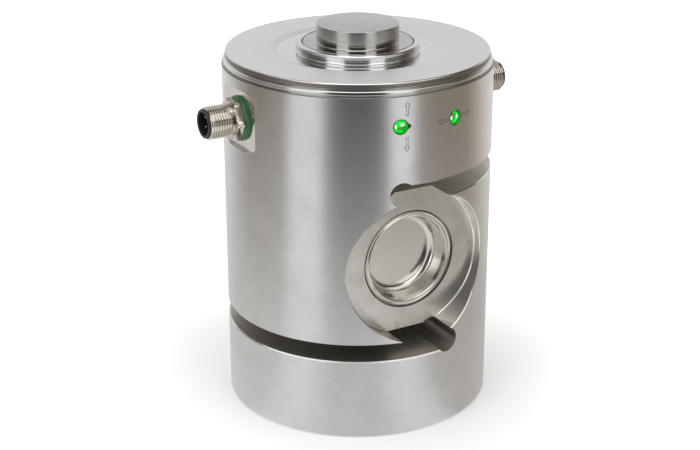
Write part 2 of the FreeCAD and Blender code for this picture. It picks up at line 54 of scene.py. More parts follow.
# %% [markdown]
# ## Main sizes
# Every surface below is worked out in millimetres from a few sizes. Heights and radii that the packed
# model already has are read from its boxes, so the new surfaces sit exactly where the solids are.

# %% Sizes read from the model


def node_box(name):
    """Lowest and highest corner of a node, in millimetres."""
    low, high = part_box(name)
    return np.array(low) / MM, np.array(high) / MM


def middle_height(name):
    """Height half way up a node, which is where the axis of a round one lies."""
    low, high = node_box(name)
    return (low[2] + high[2]) / 2


_, body_radius, body_height = node_box("sensing_body")[1]
gauge_height = middle_height("front_seal_cup")
# Which way each side of the cell faces: gauge pockets front and rear, connectors left and right.
toward = {"front": (0, -1, 0), "rear": (0, 1, 0), "left": (-1, 0, 0), "right": (1, 0, 0)}
print("body radius, height and gauge height:", np.round([body_radius, body_height, gauge_height], 2))

# %% [markdown]
# ## Surfaces from profiles
# Turned parts are easiest as what they are on the lathe: a profile that is carried round an axis. Each
# corner of the profile gets a small arc, because no real edge is perfectly sharp, and because that arc is
# what catches the light. The arcs also tell the exact direction of the surface, so the shading is exact
# on large flat faces too, where Blender's own averaging would smear the edge.

# %% Rounded profiles
least_rounding = 0.06
arc_steps = 5


def rounded_profile(corners, closed=True):
    """Points and outward normals of a profile given as (radius, height, rounding) corners, anticlockwise.

    Each corner becomes an arc that touches both of its sides. The arc's normals turn evenly from the
    normal of the side before to that of the side after, and its points are centre + rounding * normal,
    or centre - rounding * normal where the corner is hollow. An open profile starts and ends on the axis.
    """
    corners = np.array([(*corner, 0.0)[:3] for corner in corners])
    places, rounding = corners[:, :2], np.maximum(corners[:, 2], least_rounding)
    after = np.roll(places, -1, 0) - places
    after /= np.linalg.norm(after, axis=1, keepdims=True)
    before = np.roll(after, 1, 0)
    side = np.sign(before[:, 0] * after[:, 1] - before[:, 1] * after[:, 0])
    turn = np.arccos(np.clip((before * after).sum(1), -1, 1))
    normal_before = before[:, ::-1] * (1, -1)
    start = places - before * (rounding * np.tan(turn / 2))[:, None]
    centre = start - (side * rounding)[:, None] * normal_before
    first = np.arctan2(normal_before[:, 1], normal_before[:, 0])
    angle = first[:, None] + (side * turn)[:, None] * np.linspace(0, 1, arc_steps)
    normals = np.stack([np.cos(angle), np.sin(angle)], 2)
    points = centre[:, None] + (side * rounding)[:, None, None] * normals
    if closed:
        return points.reshape(-1, 2), normals.reshape(-1, 2)
    ends = after[[0, -2], ::-1] * (1, -1)
    points = np.concatenate([places[:1], points[1:-1].reshape(-1, 2), places[-1:]])
    normals = np.concatenate([ends[:1], normals[1:-1].reshape(-1, 2), ends[1:]])
    return points, normals


pin_profile, _ = rounded_profile([(0, 0), (1, 0), (1, 1), (0, 1)], False)
print("profile of a 1 mm pin has", len(pin_profile), "points")

# %% [markdown]
# A surface is a grid of points, row by row, and its faces join each point to its neighbours. Where a
# side is closed, the last row or column is joined to the first. Points that coincide, as at a pole,
# become one, so the mesh has no seam.

# %% Surfaces from grids
sharp_degrees = 30


def grid_faces(rows, columns, close_rows, close_columns):
    """Corner numbers of the quads of a grid, row by row, joined end to end where a side is closed."""
    index = np.arange(rows * columns).reshape(rows, columns)
    index = np.concatenate([index, index[:1]]) if close_rows else index
    index = np.concatenate([index, index[:, :1]], 1) if close_columns else index
    quads = np.stack([index[:-1, :-1], index[1:, :-1], index[1:, 1:], index[:-1, 1:]], 2)
    return quads.reshape(-1, 4)


def smooth_mesh(name, points, faces):
    """A mesh from points in millimetres, shaded smooth."""
    mesh = bpy.data.meshes.new(name)
    mesh.from_pydata((points * MM).tolist(), [], faces)
    mesh.polygons.foreach_set("use_smooth", np.ones(len(mesh.polygons), bool))
    return mesh


def add_object(name, data):
    """An object of the scene, at the origin."""
    made = bpy.data.objects.new(name, data)
    bpy.context.scene.collection.objects.link(made)
    return made


def surface(name, grid, close_rows=False, close_columns=False, normals=None, sharp=None):
    """A piece from a grid of points in millimetres. Points that coincide, as at a pole, become one."""
    rows, columns = grid.shape[:2]
    quads = grid_faces(rows, columns, close_rows, close_columns)
    points = grid.reshape(-1, 3)
    _, kept, number = np.unique(np.round(points, 4), axis=0, return_index=True, return_inverse=True)
    faces = [tuple(dict.fromkeys(face)) for face in number.reshape(-1)[quads].tolist()]
    faces = [face for face in faces if len(face) > 2]
    mesh = smooth_mesh(name, points[kept], faces)
    if normals is not None:
        mesh.normals_split_custom_set_from_vertices(normals.reshape(-1, 3)[kept].tolist())
    if sharp is not None:
        mesh.set_sharp_from_angle(angle=math.radians(sharp))
    piece = add_object(name, mesh)
    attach(piece, "root")
    print("made", name, "with", len(faces), "faces")
    return piece


print("an open grid of 3 x 4 points has", len(grid_faces(3, 4, False, False)), "faces")

# %% [markdown]
# Two more steps are the same for most pieces. A finished piece gets its materials, and the packed node
# that it stands for is hidden. A turned piece carries its profile round any axis, along with the exact
# directions.

# %% Turned pieces
turn_steps, small_turn_steps = 192, 96
upright = np.eye(3)


def finish_piece(piece, node, slot, *materials):
    """Gives a piece its materials. It stands for a node where one is named, and that node is hidden. The
    slot is not used.
    """
    for material in materials:
        piece.data.materials.append(material)
    if node:
        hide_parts(node)
    return piece


def axes_along(direction):
    """Rotation whose third column is a direction and whose first is as near to upright as it can be."""
    third = np.array(direction, float) / np.linalg.norm(direction)
    second = np.cross(third, (0, 0, 1))
    second /= np.linalg.norm(second)
    return np.stack([np.cross(second, third), second, third], 1)


def turned(name, corners, closed=True, axes=upright, origin=(0, 0, 0), turns=turn_steps):
    """A profile carried round an axis: (radius cos angle, radius sin angle, height)."""
    profile, slope = rounded_profile(corners, closed)
    angle = np.linspace(0, 2 * np.pi, turns, endpoint=False)[:, None]
    circle = np.stack([np.cos(angle), np.sin(angle)], 2)

    def carried(pairs):
        height = np.broadcast_to(pairs[None, :, 1:], (turns, len(pairs), 1))
        return np.concatenate([circle * pairs[None, :, :1], height], 2) @ axes.T

    return surface(name, carried(profile) + origin, True, closed, carried(slope))


print("a turned piece has", turn_steps, "steps round its axis, and a small one", small_turn_steps)

# %% [markdown]
# ## Marks that the lathe and hands leave
# A turning tool leaves fine grooves round the axis, at every height of a wall and at every radius of a
# flat face. One node group draws them from the object's own coordinates: the groove pattern changes
# quickly with height plus radius, and slowly round the axis. A second group adds the faint cloudy stains
# that pickling leaves on stainless steel, and a third the soft bloom and small scuffs of handling.

# %% Node helpers


class Nodes:
    """Shorthand for building a node tree: each call adds a node and links what it is given."""

    def __init__(self, tree):
        self.tree = tree

    def fill(self, node, inputs):
        """Links every input that is given a socket, and sets the others to their plain value."""
        for key, value in dict(inputs).items():
            if isinstance(value, bpy.types.NodeSocket):
                self.tree.links.new(value, node.inputs[key])
            else:
                node.inputs[key].default_value = value
        return node

    def add(self, kind, inputs=(), **settings):
        node = self.tree.nodes.new(kind)
        for key, value in settings.items():
            setattr(node, key, value)
        return self.fill(node, inputs)

    def group(self, tree, inputs):
        return self.add("ShaderNodeGroup", inputs, node_tree=tree).outputs[0]

    def place(self):
        return self.add("ShaderNodeTexCoord").outputs["Object"]

    def split(self, vector):
        return self.add("ShaderNodeSeparateXYZ", {0: vector}).outputs

    def join(self, *values):
        return self.add("ShaderNodeCombineXYZ", enumerate(values)).outputs[0]

    def math(self, operation, *values):
        return self.add("ShaderNodeMath", enumerate(values), operation=operation).outputs[0]

    def plus(self, first, second):
        return self.math("ADD", first, second)

    def times(self, first, second):
        return self.math("MULTIPLY", first, second)

    def mix(self, factor, first, second):
        return self.add("ShaderNodeMix", {0: factor, 6: first, 7: second}, data_type="RGBA").outputs[2]

    def blend(self, first, second, share):
        """Sum of two values, of which the first has a share and the second has the rest."""
        return self.plus(self.times(first, share), self.times(second, 1 - share))

    def spread(self, value, low, high, new_low=0.0, new_high=1.0):
        names = {"Value": value, "From Min": low, "From Max": high, "To Min": new_low, "To Max": new_high}
        return self.add("ShaderNodeMapRange", names).outputs[0]

    def noise(self, vector, scale, detail=2.0, roughness=0.5):
        names = {"Vector": vector, "Scale": scale, "Detail": detail, "Roughness": roughness}
        return self.add("ShaderNodeTexNoise", names).outputs["Fac"]

    def bump(self, height, strength, distance):
        names = {"Height": height, "Strength": strength, "Distance": distance}
        return self.add("ShaderNodeBump", names).outputs[0]


def new_group(name, inputs, outputs):
    """An empty node group with its sockets, given as name to kind or to (kind, default)."""
    tree = bpy.data.node_groups.new(name, "ShaderNodeTree")
    for socket, (kind, value) in inputs.items():
        made = tree.interface.new_socket(socket, in_out="INPUT", socket_type=kind)
        if value is not None:
            made.default_value = value
    for socket, kind in outputs.items():
        tree.interface.new_socket(socket, in_out="OUTPUT", socket_type=kind)
    nodes = Nodes(tree)
    return nodes, nodes.add("NodeGroupInput").outputs, nodes.add("NodeGroupOutput").inputs


# %% Turning marks, stains and wear


def turning_marks():
    """Grooves round the Z axis: noise over (x / r, y / r, (height + r) * lines), on walls and faces."""
    inputs = {
        "Vector": ("NodeSocketVector", None),
        "Lines per metre": ("NodeSocketFloat", 2500.0),
        "Round changes": ("NodeSocketFloat", 1.5),
    }
    nodes, given, out = new_group("turning marks", inputs, {"Mark": "NodeSocketFloat"})
    x, y, height = nodes.split(given["Vector"])
    radius = nodes.math("SQRT", nodes.plus(nodes.times(x, x), nodes.times(y, y)))
    safe = nodes.math("MAXIMUM", radius, 1e-5)
    across = nodes.times(nodes.plus(height, radius), given["Lines per metre"])
    round_x = nodes.times(nodes.math("DIVIDE", x, safe), given["Round changes"])
    round_y = nodes.times(nodes.math("DIVIDE", y, safe), given["Round changes"])
    nodes.tree.links.new(nodes.noise(nodes.join(round_x, round_y, across), 1.0, 3.0, 0.6), out["Mark"])
    return nodes.tree


def steel_stains():
    """Cloudy variation: two noises of different size, stretched so that the middle stays neutral."""
    inputs = {"Vector": ("NodeSocketVector", None), "Size": ("NodeSocketFloat", 60.0)}
    nodes, given, out = new_group("steel stains", inputs, {"Stain": "NodeSocketFloat"})
    broad = nodes.noise(given["Vector"], given["Size"], 4.0, 0.6)
    fine = nodes.noise(given["Vector"], nodes.times(given["Size"], 7.0), 3.0, 0.6)
    nodes.tree.links.new(nodes.spread(nodes.blend(broad, fine, 0.7), 0.27, 0.73), out["Stain"])
    return nodes.tree


def handling_marks():
    """Where a noise is above a limit: broad soft patches of bloom, and small scuffs that are sharper."""
    inputs = {"Vector": ("NodeSocketVector", None), "Scuffs": ("NodeSocketFloat", 0.5)}
    nodes, given, out = new_group("handling marks", inputs, {"Wear": "NodeSocketFloat"})
    bloom = nodes.spread(nodes.noise(given["Vector"], 42.0, 3.0, 0.55), 0.52, 0.70, 0.0, 0.35)
    scuff = nodes.spread(nodes.noise(given["Vector"], 170.0, 2.0, 0.5), 0.66, 0.74, 0.0, given["Scuffs"])
    nodes.tree.links.new(nodes.plus(bloom, scuff), out["Wear"])
    return nodes.tree


usual_low, usual_high = 0.3, 0.7  # nearly all values of a noise lie between these
marks_group = turning_marks()
stains_group = steel_stains()
wear_group = handling_marks()
print("node groups:", [group.name for group in bpy.data.node_groups])

# %% [markdown]
# ## Steel
# Every steel face is the same alloy, so one function makes them all. What differs is the finish: how
# rough it is, how far its grooves smear a reflection, and which way they run. Grooved metal smears light
# across its grooves, which is why the wall of the body mirrors the room as upright bands. The shader's
# Anisotropic value does that, with a tangent that runs round the axis.

# %% Steel finishes


def new_material(name):
    """A material, the shorthand for its node tree, and its Principled shader."""
    material = bpy.data.materials.new(name)
    material.use_nodes = True
    nodes = Nodes(material.node_tree)
    return material, nodes, material.node_tree.nodes["Principled BSDF"]


groove_strength, groove_depth = 0.35, 0.00001
# Worn metal keeps these shares of its dark tone's red, green and blue, so it turns a little brown.
worn_share = np.array([0.62, 0.57, 0.50])
uneven_gloss = 0.12
across_grooves = 0.25  # of a whole turn between the tangent, which runs along them, and the smear


def steel(name, dark, light, roughness, grooves=0.0, smear=0.0, axis="Z", height=0.0, lines=2500.0,
          stain_size=60.0, wear=0.0, scuffs=0.5):
    """Stainless steel between two tones. The grooves run round Z, or round Y at a height in metres."""
    material, nodes, shader = new_material(name)
    place = nodes.place()
    turn = {"Z": (0, 0, 0), "Y": (-math.pi / 2, 0, 0)}[axis]
    centred = {"Vector": place, "Rotation": turn, "Location": (0, -height, 0)}
    turned_place = nodes.add("ShaderNodeMapping", centred).outputs[0]
    mark = nodes.group(marks_group, {"Vector": turned_place, "Lines per metre": lines})
    stain = nodes.group(stains_group, {"Vector": place, "Size": stain_size})
    blend = nodes.blend(mark, stain, grooves)
    colour = nodes.mix(blend, (*dark, 1), (*light, 1))
    if wear:
        worn = nodes.times(nodes.group(wear_group, {"Vector": place, "Scuffs": scuffs}), wear)
        colour = nodes.mix(worn, colour, (*(worn_share * dark), 1))
    rough = nodes.spread(blend, 0.0, 1.0, roughness * (1 + uneven_gloss), roughness * (1 - uneven_gloss))
    nodes.fill(shader, {"Base Color": colour, "Roughness": rough, "Metallic": 1.0})
    if smear:
        nodes.fill(shader, {"Anisotropic": smear, "Anisotropic Rotation": across_grooves})
        tangent = nodes.add("ShaderNodeTangent", direction_type="RADIAL", axis=axis).outputs[0]
        nodes.fill(shader, {"Tangent": tangent})
    if grooves:
        nodes.fill(shader, {"Normal": nodes.bump(mark, groove_strength, groove_depth)})
    return material


wall_steel = steel("turned wall", (0.52, 0.515, 0.505), (0.69, 0.685, 0.675), 0.29, 0.4, 0.7,
                   stain_size=40, wear=0.45, scuffs=0.12)
cover_steel = steel("satin cover", (0.73, 0.73, 0.725), (0.80, 0.80, 0.795), 0.47, 0.35)
recess_steel = steel("polished recess", (0.64, 0.64, 0.635), (0.71, 0.71, 0.705), 0.14, 0.3)
ring_steel = steel("bright bead", (0.60, 0.595, 0.58), (0.70, 0.695, 0.68), 0.15, 0.3, 0.3)
edge_steel = steel("tinted edge", (0.20, 0.18, 0.165), (0.31, 0.285, 0.26), 0.42, 0.4)
button_steel = steel("turned button", (0.37, 0.36, 0.345), (0.50, 0.49, 0.475), 0.12, 0.3, 0.15)
cup_steel = steel("pressed cup", (0.60, 0.58, 0.54), (0.72, 0.70, 0.66), 0.14, 0.35,
                  axis="Y", height=gauge_height * MM, lines=1800, stain_size=70)
milled_steel = steel("milled flat", (0.50, 0.485, 0.45), (0.71, 0.695, 0.66), 0.30,
                     stain_size=110, wear=0.8)
bored_steel = steel("bored wall", (0.74, 0.725, 0.69), (0.85, 0.83, 0.79), 0.15, stain_size=90)

# %% [markdown]
# The slots were sawn with a large disc, so their faces carry arcs of its radius. They are rougher than
# the rest, and the lower slot is darker.

# %% The sawn slots
cutter_radius, arcs_per_metre, changes_along = 0.062, 2200.0, 90.0
# The slot steel is darker below the first height and lighter above the second.
darker_below_height, lighter_above_height = 0.05, 0.07


def sawn_steel():
    """Darker steel with arcs from the slotting cutter: noise over x - sqrt(R * R - y * y)."""
    material, nodes, shader = new_material("sawn slot")
    place = nodes.place()
    x, y, height = nodes.split(place)
    square = nodes.math("SUBTRACT", cutter_radius ** 2, nodes.times(y, y))
    arc = nodes.math("SUBTRACT", x, nodes.math("SQRT", nodes.math("MAXIMUM", square, 0.0)))
    across = nodes.times(nodes.plus(arc, height), arcs_per_metre)
    streak = nodes.noise(nodes.join(across, nodes.times(y, changes_along)), 1.0, 3.0, 0.65)
    stain = nodes.group(stains_group, {"Vector": place, "Size": 160.0})
    blend = nodes.blend(nodes.spread(streak, usual_low, usual_high), stain, 0.7)
    upper_slot_tone = nodes.mix(blend, (0.58, 0.55, 0.50, 1), (0.90, 0.87, 0.81, 1))
    lower_slot_tone = nodes.mix(blend, (0.42, 0.40, 0.36, 1), (0.72, 0.69, 0.63, 1))
    nodes.fill(shader, {
        "Base Color": nodes.mix(nodes.spread(height, darker_below_height, lighter_above_height), lower_slot_tone, upper_slot_tone),
        "Roughness": nodes.spread(blend, 0.0, 1.0, 0.50, 0.36),
        "Metallic": 1.0,
        "Normal": nodes.bump(streak, 0.5, 0.00003),
    })
    return material


slot_steel = sawn_steel()
print("steel finishes:", [material.name for material in bpy.data.materials])

# %% [markdown]
# ## Plastics, rubber and plating
# Moulded plastic is never one flat colour: it has a fine grain and a slightly uneven gloss. Plated metal
# and lacquer have the same kind of grain, much finer, so one function makes them all.

# %% Other finishes
grain_gloss, grain_strength = 0.15, 0.3


def moulded(name, colour, roughness, grain=900.0, depth=0.00003, variation=0.25, metallic=0.0):
    """A material with fine grain: noise moves its tone, its gloss and its surface a little."""
    material, nodes, shader = new_material(name)
    speck = nodes.noise(nodes.place(), grain, 3.0, 0.6)
    darker = tuple(c * (1 - variation) for c in colour)
    lighter = tuple(min(c * (1 + variation), 1.0) for c in colour)
    glossy, dull = roughness * (1 - grain_gloss), min(roughness * (1 + grain_gloss), 1.0)
    nodes.fill(shader, {
        "Base Color": nodes.mix(nodes.spread(speck, usual_low, usual_high), (*darker, 1), (*lighter, 1)),
        "Roughness": nodes.spread(speck, usual_low, usual_high, glossy, dull),
        "Metallic": metallic,
        "Normal": nodes.bump(speck, grain_strength, depth),
    })
    return material


seal_green = moulded("seal rubber", (0.05, 0.17, 0.07), 0.33, 500, variation=0.3)
insert_black = moulded("black insulator", (0.022, 0.022, 0.022), 0.42)
holder_black = moulded("black holder", (0.03, 0.03, 0.03), 0.5)
nickel = moulded("nickel plate", (0.68, 0.64, 0.585), 0.09, 700, 0.00001, 0.06, 1.0)
gold = moulded("gold flash", (0.50, 0.38, 0.20), 0.3, 700, 0.00001, 0.08, 1.0)
brass = moulded("turned brass", (0.72, 0.55, 0.26), 0.3, 700, 0.00001, 0.08, 1.0)
tin = moulded("tinned pad", (0.78, 0.77, 0.75), 0.35, 600, 0.00002, 0.08, 1.0)
can_metal = moulded("plain can", (0.70, 0.70, 0.70), 0.3, 500, 0.00001, 0.08, 1.0)
board_green = moulded("solder mask", (0.02, 0.16, 0.06), 0.28, 300, 0.00002, 0.2)
chip_black = moulded("moulding compound", (0.025, 0.025, 0.027), 0.55)
film_amber = moulded("carrier film", (0.55, 0.30, 0.06), 0.3, 400, 0.00001, 0.15)
sleeve_red = moulded("wire sleeve", (0.35, 0.03, 0.02), 0.45)
nylon = moulded("natural nylon", (0.72, 0.70, 0.62), 0.45, variation=0.08)
# Dark etched lines for the arrows; the same material is painted shade in the cups' gaps and at the body's
# top edge.
etched_and_shade = moulded("etched line", (0.20, 0.19, 0.17), 0.6, 1500, variation=0.3, metallic=0.6)
print("materials:", len(bpy.data.materials))

# %% [markdown]
# A lit lamp is a clear green dome with a glow from inside, so it gets an emission under a glossy skin.
# The glow is deeper in some places, and painted white highlights sit at fixed places on the dome.

# %% Lit lamps
lamp_height, lamp_azimuth = 119.5, 12.8


def lit_lamp(name, azimuth, painted_highlights):
    """A green dome lit from inside, with bright patches.

    A painted highlight is given as (distance to the right, height, half width, half height) in
    millimetres. It is full where ((right - r) / w) ** 2 + ((up - h) / v) ** 2 is small, and fades out at
    its rim.
    """
    material, nodes, shader = new_material(name)
    place = nodes.place()
    x, y, height = nodes.split(place)
    angle = math.radians(azimuth)
    right = nodes.plus(nodes.times(x, math.cos(angle)), nodes.times(y, math.sin(angle)))
    swirl = nodes.noise(place, 350.0, 2.0, 0.5)
    glow = nodes.mix(nodes.spread(swirl, 0.40, 0.54), (0.0, 0.24, 0.0, 1), (0.0, 0.90, 0.03, 1))
    for highlight_right, highlight_up, half_width, half_height in painted_highlights:
        across = nodes.math("DIVIDE", nodes.math("SUBTRACT", right, highlight_right * MM), half_width * MM)
        above = nodes.math("SUBTRACT", height, (lamp_height + highlight_up) * MM)
        up = nodes.math("DIVIDE", above, half_height * MM)
        reach = nodes.plus(nodes.times(across, across), nodes.times(up, up))
        # Each patch mixes in a painted white highlight.
        glow = nodes.mix(nodes.spread(reach, 1.3, 0.5), glow, (0.86, 1.0, 0.86, 1))
    nodes.fill(shader, {
        "Base Color": (0.0, 0.05, 0.0, 1),
        "Roughness": 0.08,
        "Coat Weight": 0.3,
        "Coat Roughness": 0.03,
        "Emission Color": glow,
        "Emission Strength": 1.0,
    })
    return material


# The patches of each lamp are painted highlights.
lamp_green = {
    "left": lit_lamp("lit lamp left", -lamp_azimuth, [(-1.7, 0.0, 0.3, 0.8), (0.65, 0.75, 0.9, 0.6)]),
    "right": lit_lamp("lit lamp right", lamp_azimuth, [(-1.5, 0.0, 0.3, 0.8), (0.75, 0.35, 0.7, 0.8)]),
}
print("lamp materials:", [material.name for material in lamp_green.values()])

# %% [markdown]
# ## The sensing body
# The body is too cut up to be one simple grid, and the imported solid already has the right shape. Its
# mesh is a set of loose triangles, though, and a long triangle on a round wall shades like a flat one.
# The cure is to copy the mesh, join its corners, and tell each corner which way the true wall faces:
# straight out from the axis of whichever round wall its triangle lies on.

# %% Exact directions for the round walls
lower_slot, upper_slot = (30.85, 37.25), (91.15, 97.55)
touching, nearly_square = 0.02, 0.1


def merged_copy(node):
    """Points and triangles of a node's mesh, with its doubled corners joined."""
    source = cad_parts[node].data
    source.calc_loop_triangles()
    points = np.empty(len(source.vertices) * 3)
    source.vertices.foreach_get("co", points)
    triangles = np.empty(len(source.loop_triangles) * 3, int)
    source.loop_triangles.foreach_get("vertices", triangles)
    points = points.reshape(-1, 3) / MM
    _, kept, number = np.unique(np.round(points, 3), axis=0, return_index=True, return_inverse=True)
    faces = number.reshape(-1)[triangles.reshape(-1, 3)]
    whole = (faces[:, 0] != faces[:, 1]) & (faces[:, 1] != faces[:, 2]) & (faces[:, 2] != faces[:, 0])
    return points[kept], faces[whole]


def face_normals(points, faces):
    """Cross product of two sides of each triangle, made one long."""
    corner = points[faces]
    normal = np.cross(corner[:, 1] - corner[:, 0], corner[:, 2] - corner[:, 0])
    return normal / np.maximum(np.linalg.norm(normal, axis=1, keepdims=True), 1e-12)


def round_wall_normals(points, faces, flat, centre, axis, radius):
    """True normals of the triangles that lie on a round wall: away from its axis, or towards it."""
    axis = np.array(axis, float)
    offset = points - centre
    radial = offset - (offset @ axis)[:, None] * axis
    distance = np.linalg.norm(radial, axis=1)
    radial /= np.maximum(distance, 1e-9)[:, None]
    on_wall = (np.abs(distance - radius) < touching)[faces].all(1) & (np.abs(flat @ axis) < nearly_square)
    outward = np.sign((radial[faces].mean(1) * flat).sum(1))
    normals = radial[faces] * outward[:, None, None]
    return on_wall, normals


body_points, body_faces = merged_copy("sensing_body")
flat_normals = face_normals(body_points, body_faces)
corner_normals = np.repeat(flat_normals[:, None], 3, 1)
pocket_radius, bore_radius, shoulder_radius, relief_radius, slot_reach = 28.4, 17.2, 18.8, 4.6, 9.9
round_walls = [
    ((0, 0, 0), (0, 0, 1), body_radius),
    ((0, 0, gauge_height), (0, 1, 0), pocket_radius),
    ((0, 0, gauge_height), (0, 1, 0), bore_radius),
    ((0, 0, gauge_height), (0, 1, 0), shoulder_radius),
    ((slot_reach, 0, sum(lower_slot) / 2), (0, 1, 0), relief_radius),
    ((-slot_reach, 0, sum(upper_slot) / 2), (0, 1, 0), relief_radius),
]
found = [round_wall_normals(body_points, body_faces, flat_normals, *wall) for wall in round_walls]
for on_wall, normals in found:
    corner_normals[on_wall] = normals[on_wall]
on_outer = found[0][0]
print("triangles on each round wall:", [int(on_wall.sum()) for on_wall, _ in found])

# %% [markdown]
# The same mesh holds five finishes, so each triangle is sorted by where it lies: the turned wall outside,
# the milled flats of the pockets, the sawn slots, the bored walls with the bright broken edges and the
# flats under the connectors, and a dark band of painted shade at the top edge, in the gap below the
# cover's bead.

# %% Which finish each triangle has
face_centre = body_points[body_faces].mean(1)
face_x, face_y, face_z = face_centre.T
face_radius = np.hypot(face_x, face_y)
from_gauge = np.hypot(body_points[:, 0], body_points[:, 2] - gauge_height)
pocket_flat, web_side = 37.6, 4.5
connector_flat = node_box("right_connector_seal")[0][0]
slack, rim_margin = 0.05, 0.3
edge_break, edge_from_ends, least_slant, most_slant = 0.4, 5, 0.4, 0.95
shade_band_depth, shade_band_width = 0.32, 2


def in_slot(span, opening):
    """Triangles between the two faces of a slot or round its relief hole, and not on the outer wall."""
    margin = relief_radius - (span[1] - span[0]) / 2 + slack
    inside = (face_z > span[0] - margin) & (face_z < span[1] + margin)
    beside = np.abs(face_x * -opening - slot_reach) < relief_radius + 2 * slack
    between = (face_z > span[0] - slack) & (face_z < span[1] + slack)
    return inside & (between | beside) & ~on_outer & (face_radius < body_radius - rim_margin)


slot_faces = in_slot(lower_slot, -1) | in_slot(upper_slot, 1)
slot_faces &= np.abs(np.abs(face_y) - pocket_flat) >= 2 * slack
in_pocket = np.hypot(face_x, face_z - gauge_height) < pocket_radius + rim_margin
milled_faces = in_pocket & ~slot_faces & (np.abs(face_y) > web_side) & ~on_outer
bored_faces = milled_faces & (np.abs(from_gauge - pocket_radius) < touching)[body_faces].all(1)
on_seat = (np.abs(np.abs(body_points[:, 0]) - connector_flat) < touching)[body_faces].all(1)
flat_seat = on_seat & (np.abs(flat_normals[:, 0]) > 1 - nearly_square)
# A broken edge lies close to the wall and slants: 1 would face straight out and 0 along the wall.
slant = np.abs((flat_normals[:, :2] * face_centre[:, :2]).sum(1) / face_radius)
edge_faces = (face_radius > body_radius - edge_break) & (slant > least_slant) & (slant < most_slant)
edge_faces &= (face_z > edge_from_ends) & (face_z < body_height - edge_from_ends)
# A dark band at the top edge, below the cover's bead, is painted shade.
shade_band_faces = (body_points[:, 2] > body_height - shade_band_depth)[body_faces].all(1)
shade_band_faces &= face_radius > body_radius - shade_band_width
finish = np.zeros(len(body_faces), int)
finish[milled_faces] = 1
finish[slot_faces] = 2
finish[bored_faces | flat_seat | edge_faces] = 3
finish[shade_band_faces] = 4

# %% The dressed body
body_mesh = smooth_mesh("sensing_body_finish", body_points, body_faces.tolist())
body_mesh.normals_split_custom_set(corner_normals.reshape(-1, 3).tolist())
body = add_object("sensing_body_finish", body_mesh)
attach(body, "root")
body_finishes = (wall_steel, milled_steel, slot_steel, bored_steel, etched_and_shade)
finish_piece(body, "sensing_body", "brushed_body", *body_finishes)
body_mesh.polygons.foreach_set("material_index", finish)
print("body triangles", len(body_faces), "wall, milled, slot, bored, painted shade:", np.bincount(finish))

# %% [markdown]
# The cutter that sank the pocket had a rounded nose, so a small hollow runs round the corner between the
# pocket's wall and its flat, and it shows as a bright line. It stops where the two slots cut through.

# %% Rounded corner of the pockets
corner_rounding, corner_sink, fade_degrees = 0.5, 0.02, 3
corner_steps, bend_steps = 145, 9


def pocket_origin(direction):
    """Middle of a pocket's flat."""
    return np.array([0, 0, gauge_height]) + np.array(direction) * pocket_flat


def hollow_corner(name, direction, start, end):
    """A bead in the corner, carried from one angle to another and shrunk to nothing at both ends.

    Its hollow face is (R - s + s cos b, s - s sin b) with s the rounding and b from 0 to 90 degrees.
    """
    angle = np.radians(np.linspace(start, end, corner_steps))[:, None]
    share = np.clip(np.minimum(angle - angle[0], angle[-1] - angle) / np.radians(fade_degrees), 0, 1)
    size = corner_rounding * share
    bend = np.linspace(0, np.pi / 2, bend_steps)[None, :]
    hollow = pocket_radius - size * (1 - np.cos(bend))
    radius = np.concatenate([pocket_radius + corner_sink * share, hollow], 1)
    height = np.concatenate([-corner_sink * share, size * (1 - np.sin(bend))], 1)
    local = np.stack([radius * np.cos(angle), radius * np.sin(angle), height], 2)
    grid = local @ axes_along(direction).T + pocket_origin(direction)
    corner = surface(name, grid, False, True, sharp=sharp_degrees)
    return finish_piece(corner, None, "brushed_body", bored_steel)


# The slots cut the corner away within these angles of straight up and straight down. They cut further
# beside a relief hole.
plain_cut, relief_cut = 19.2, 25.2
for end, near_top, near_foot in (("front", relief_cut, plain_cut), ("rear", plain_cut, relief_cut)):
    hollow_corner(end + "_pocket_corner_a", toward[end], near_top, 180 - near_foot)
    hollow_corner(end + "_pocket_corner_b", toward[end], 180 + near_top, 360 - near_foot)

# %% [markdown]
# ## Button, cover and bead rings
# These are pure lathe work: four profiles carried round the Z axis. The cover is a thin plate with a
# shallow step, so that it gives way when the button moves, and two polished beads close it off.

# %% Profiles of the top
rim_radius, _, cover_seat = node_box("rim_weld_ring")[1]
cover_radius, _, neck_top = node_box("cover_diaphragm")[1]
collar_radius, _, collar_top = node_box("collar_weld_ring")[1]
flange_radius, _, button_top = node_box("load_button")[1]
shank_end = node_box("load_button")[0][2]
ring_seat, cover_thickness = body_height, 2.4
cover_top = cover_seat + cover_thickness
flange_top, button_radius, crown = 137.3, 15.2, 0.35
column_top, shank_radius = 126.0, 12.0


def face_middles(piece):
    """Middle of each face of a piece, in millimetres."""
    middles = np.empty(len(piece.data.polygons) * 3)
    piece.data.polygons.foreach_get("center", middles)
    return middles.reshape(-1, 3) / MM


def distance_from(places, centre, along):
    """Distance from an axis through a centre, where along is the number of the axis: 0, 1 or 2."""
    offset = np.delete(places - np.array(centre), along, axis=1)
    return np.linalg.norm(offset, axis=1)


crown_steps, crown_middle, crown_rounding = 7, 2.0, 0.02
crown_radii = np.linspace(button_radius - 0.4, crown_middle, crown_steps)
crown_heights = button_top - crown * (crown_radii / button_radius) ** 2
crown_points = [(*place, crown_rounding) for place in zip(crown_radii, crown_heights)]
button = turned("load_button_finish", [
    (0, shank_end),
    (shank_radius, shank_end, 0.5),
    (shank_radius, column_top),
    (flange_radius, column_top),
    (flange_radius, flange_top, 0.5),
    (button_radius, flange_top, 0.4),
    (button_radius, button_top - crown, 0.35),
    *crown_points,
    (0, button_top),
], closed=False)
finish_piece(button, "load_button", "turned_steel", button_steel)

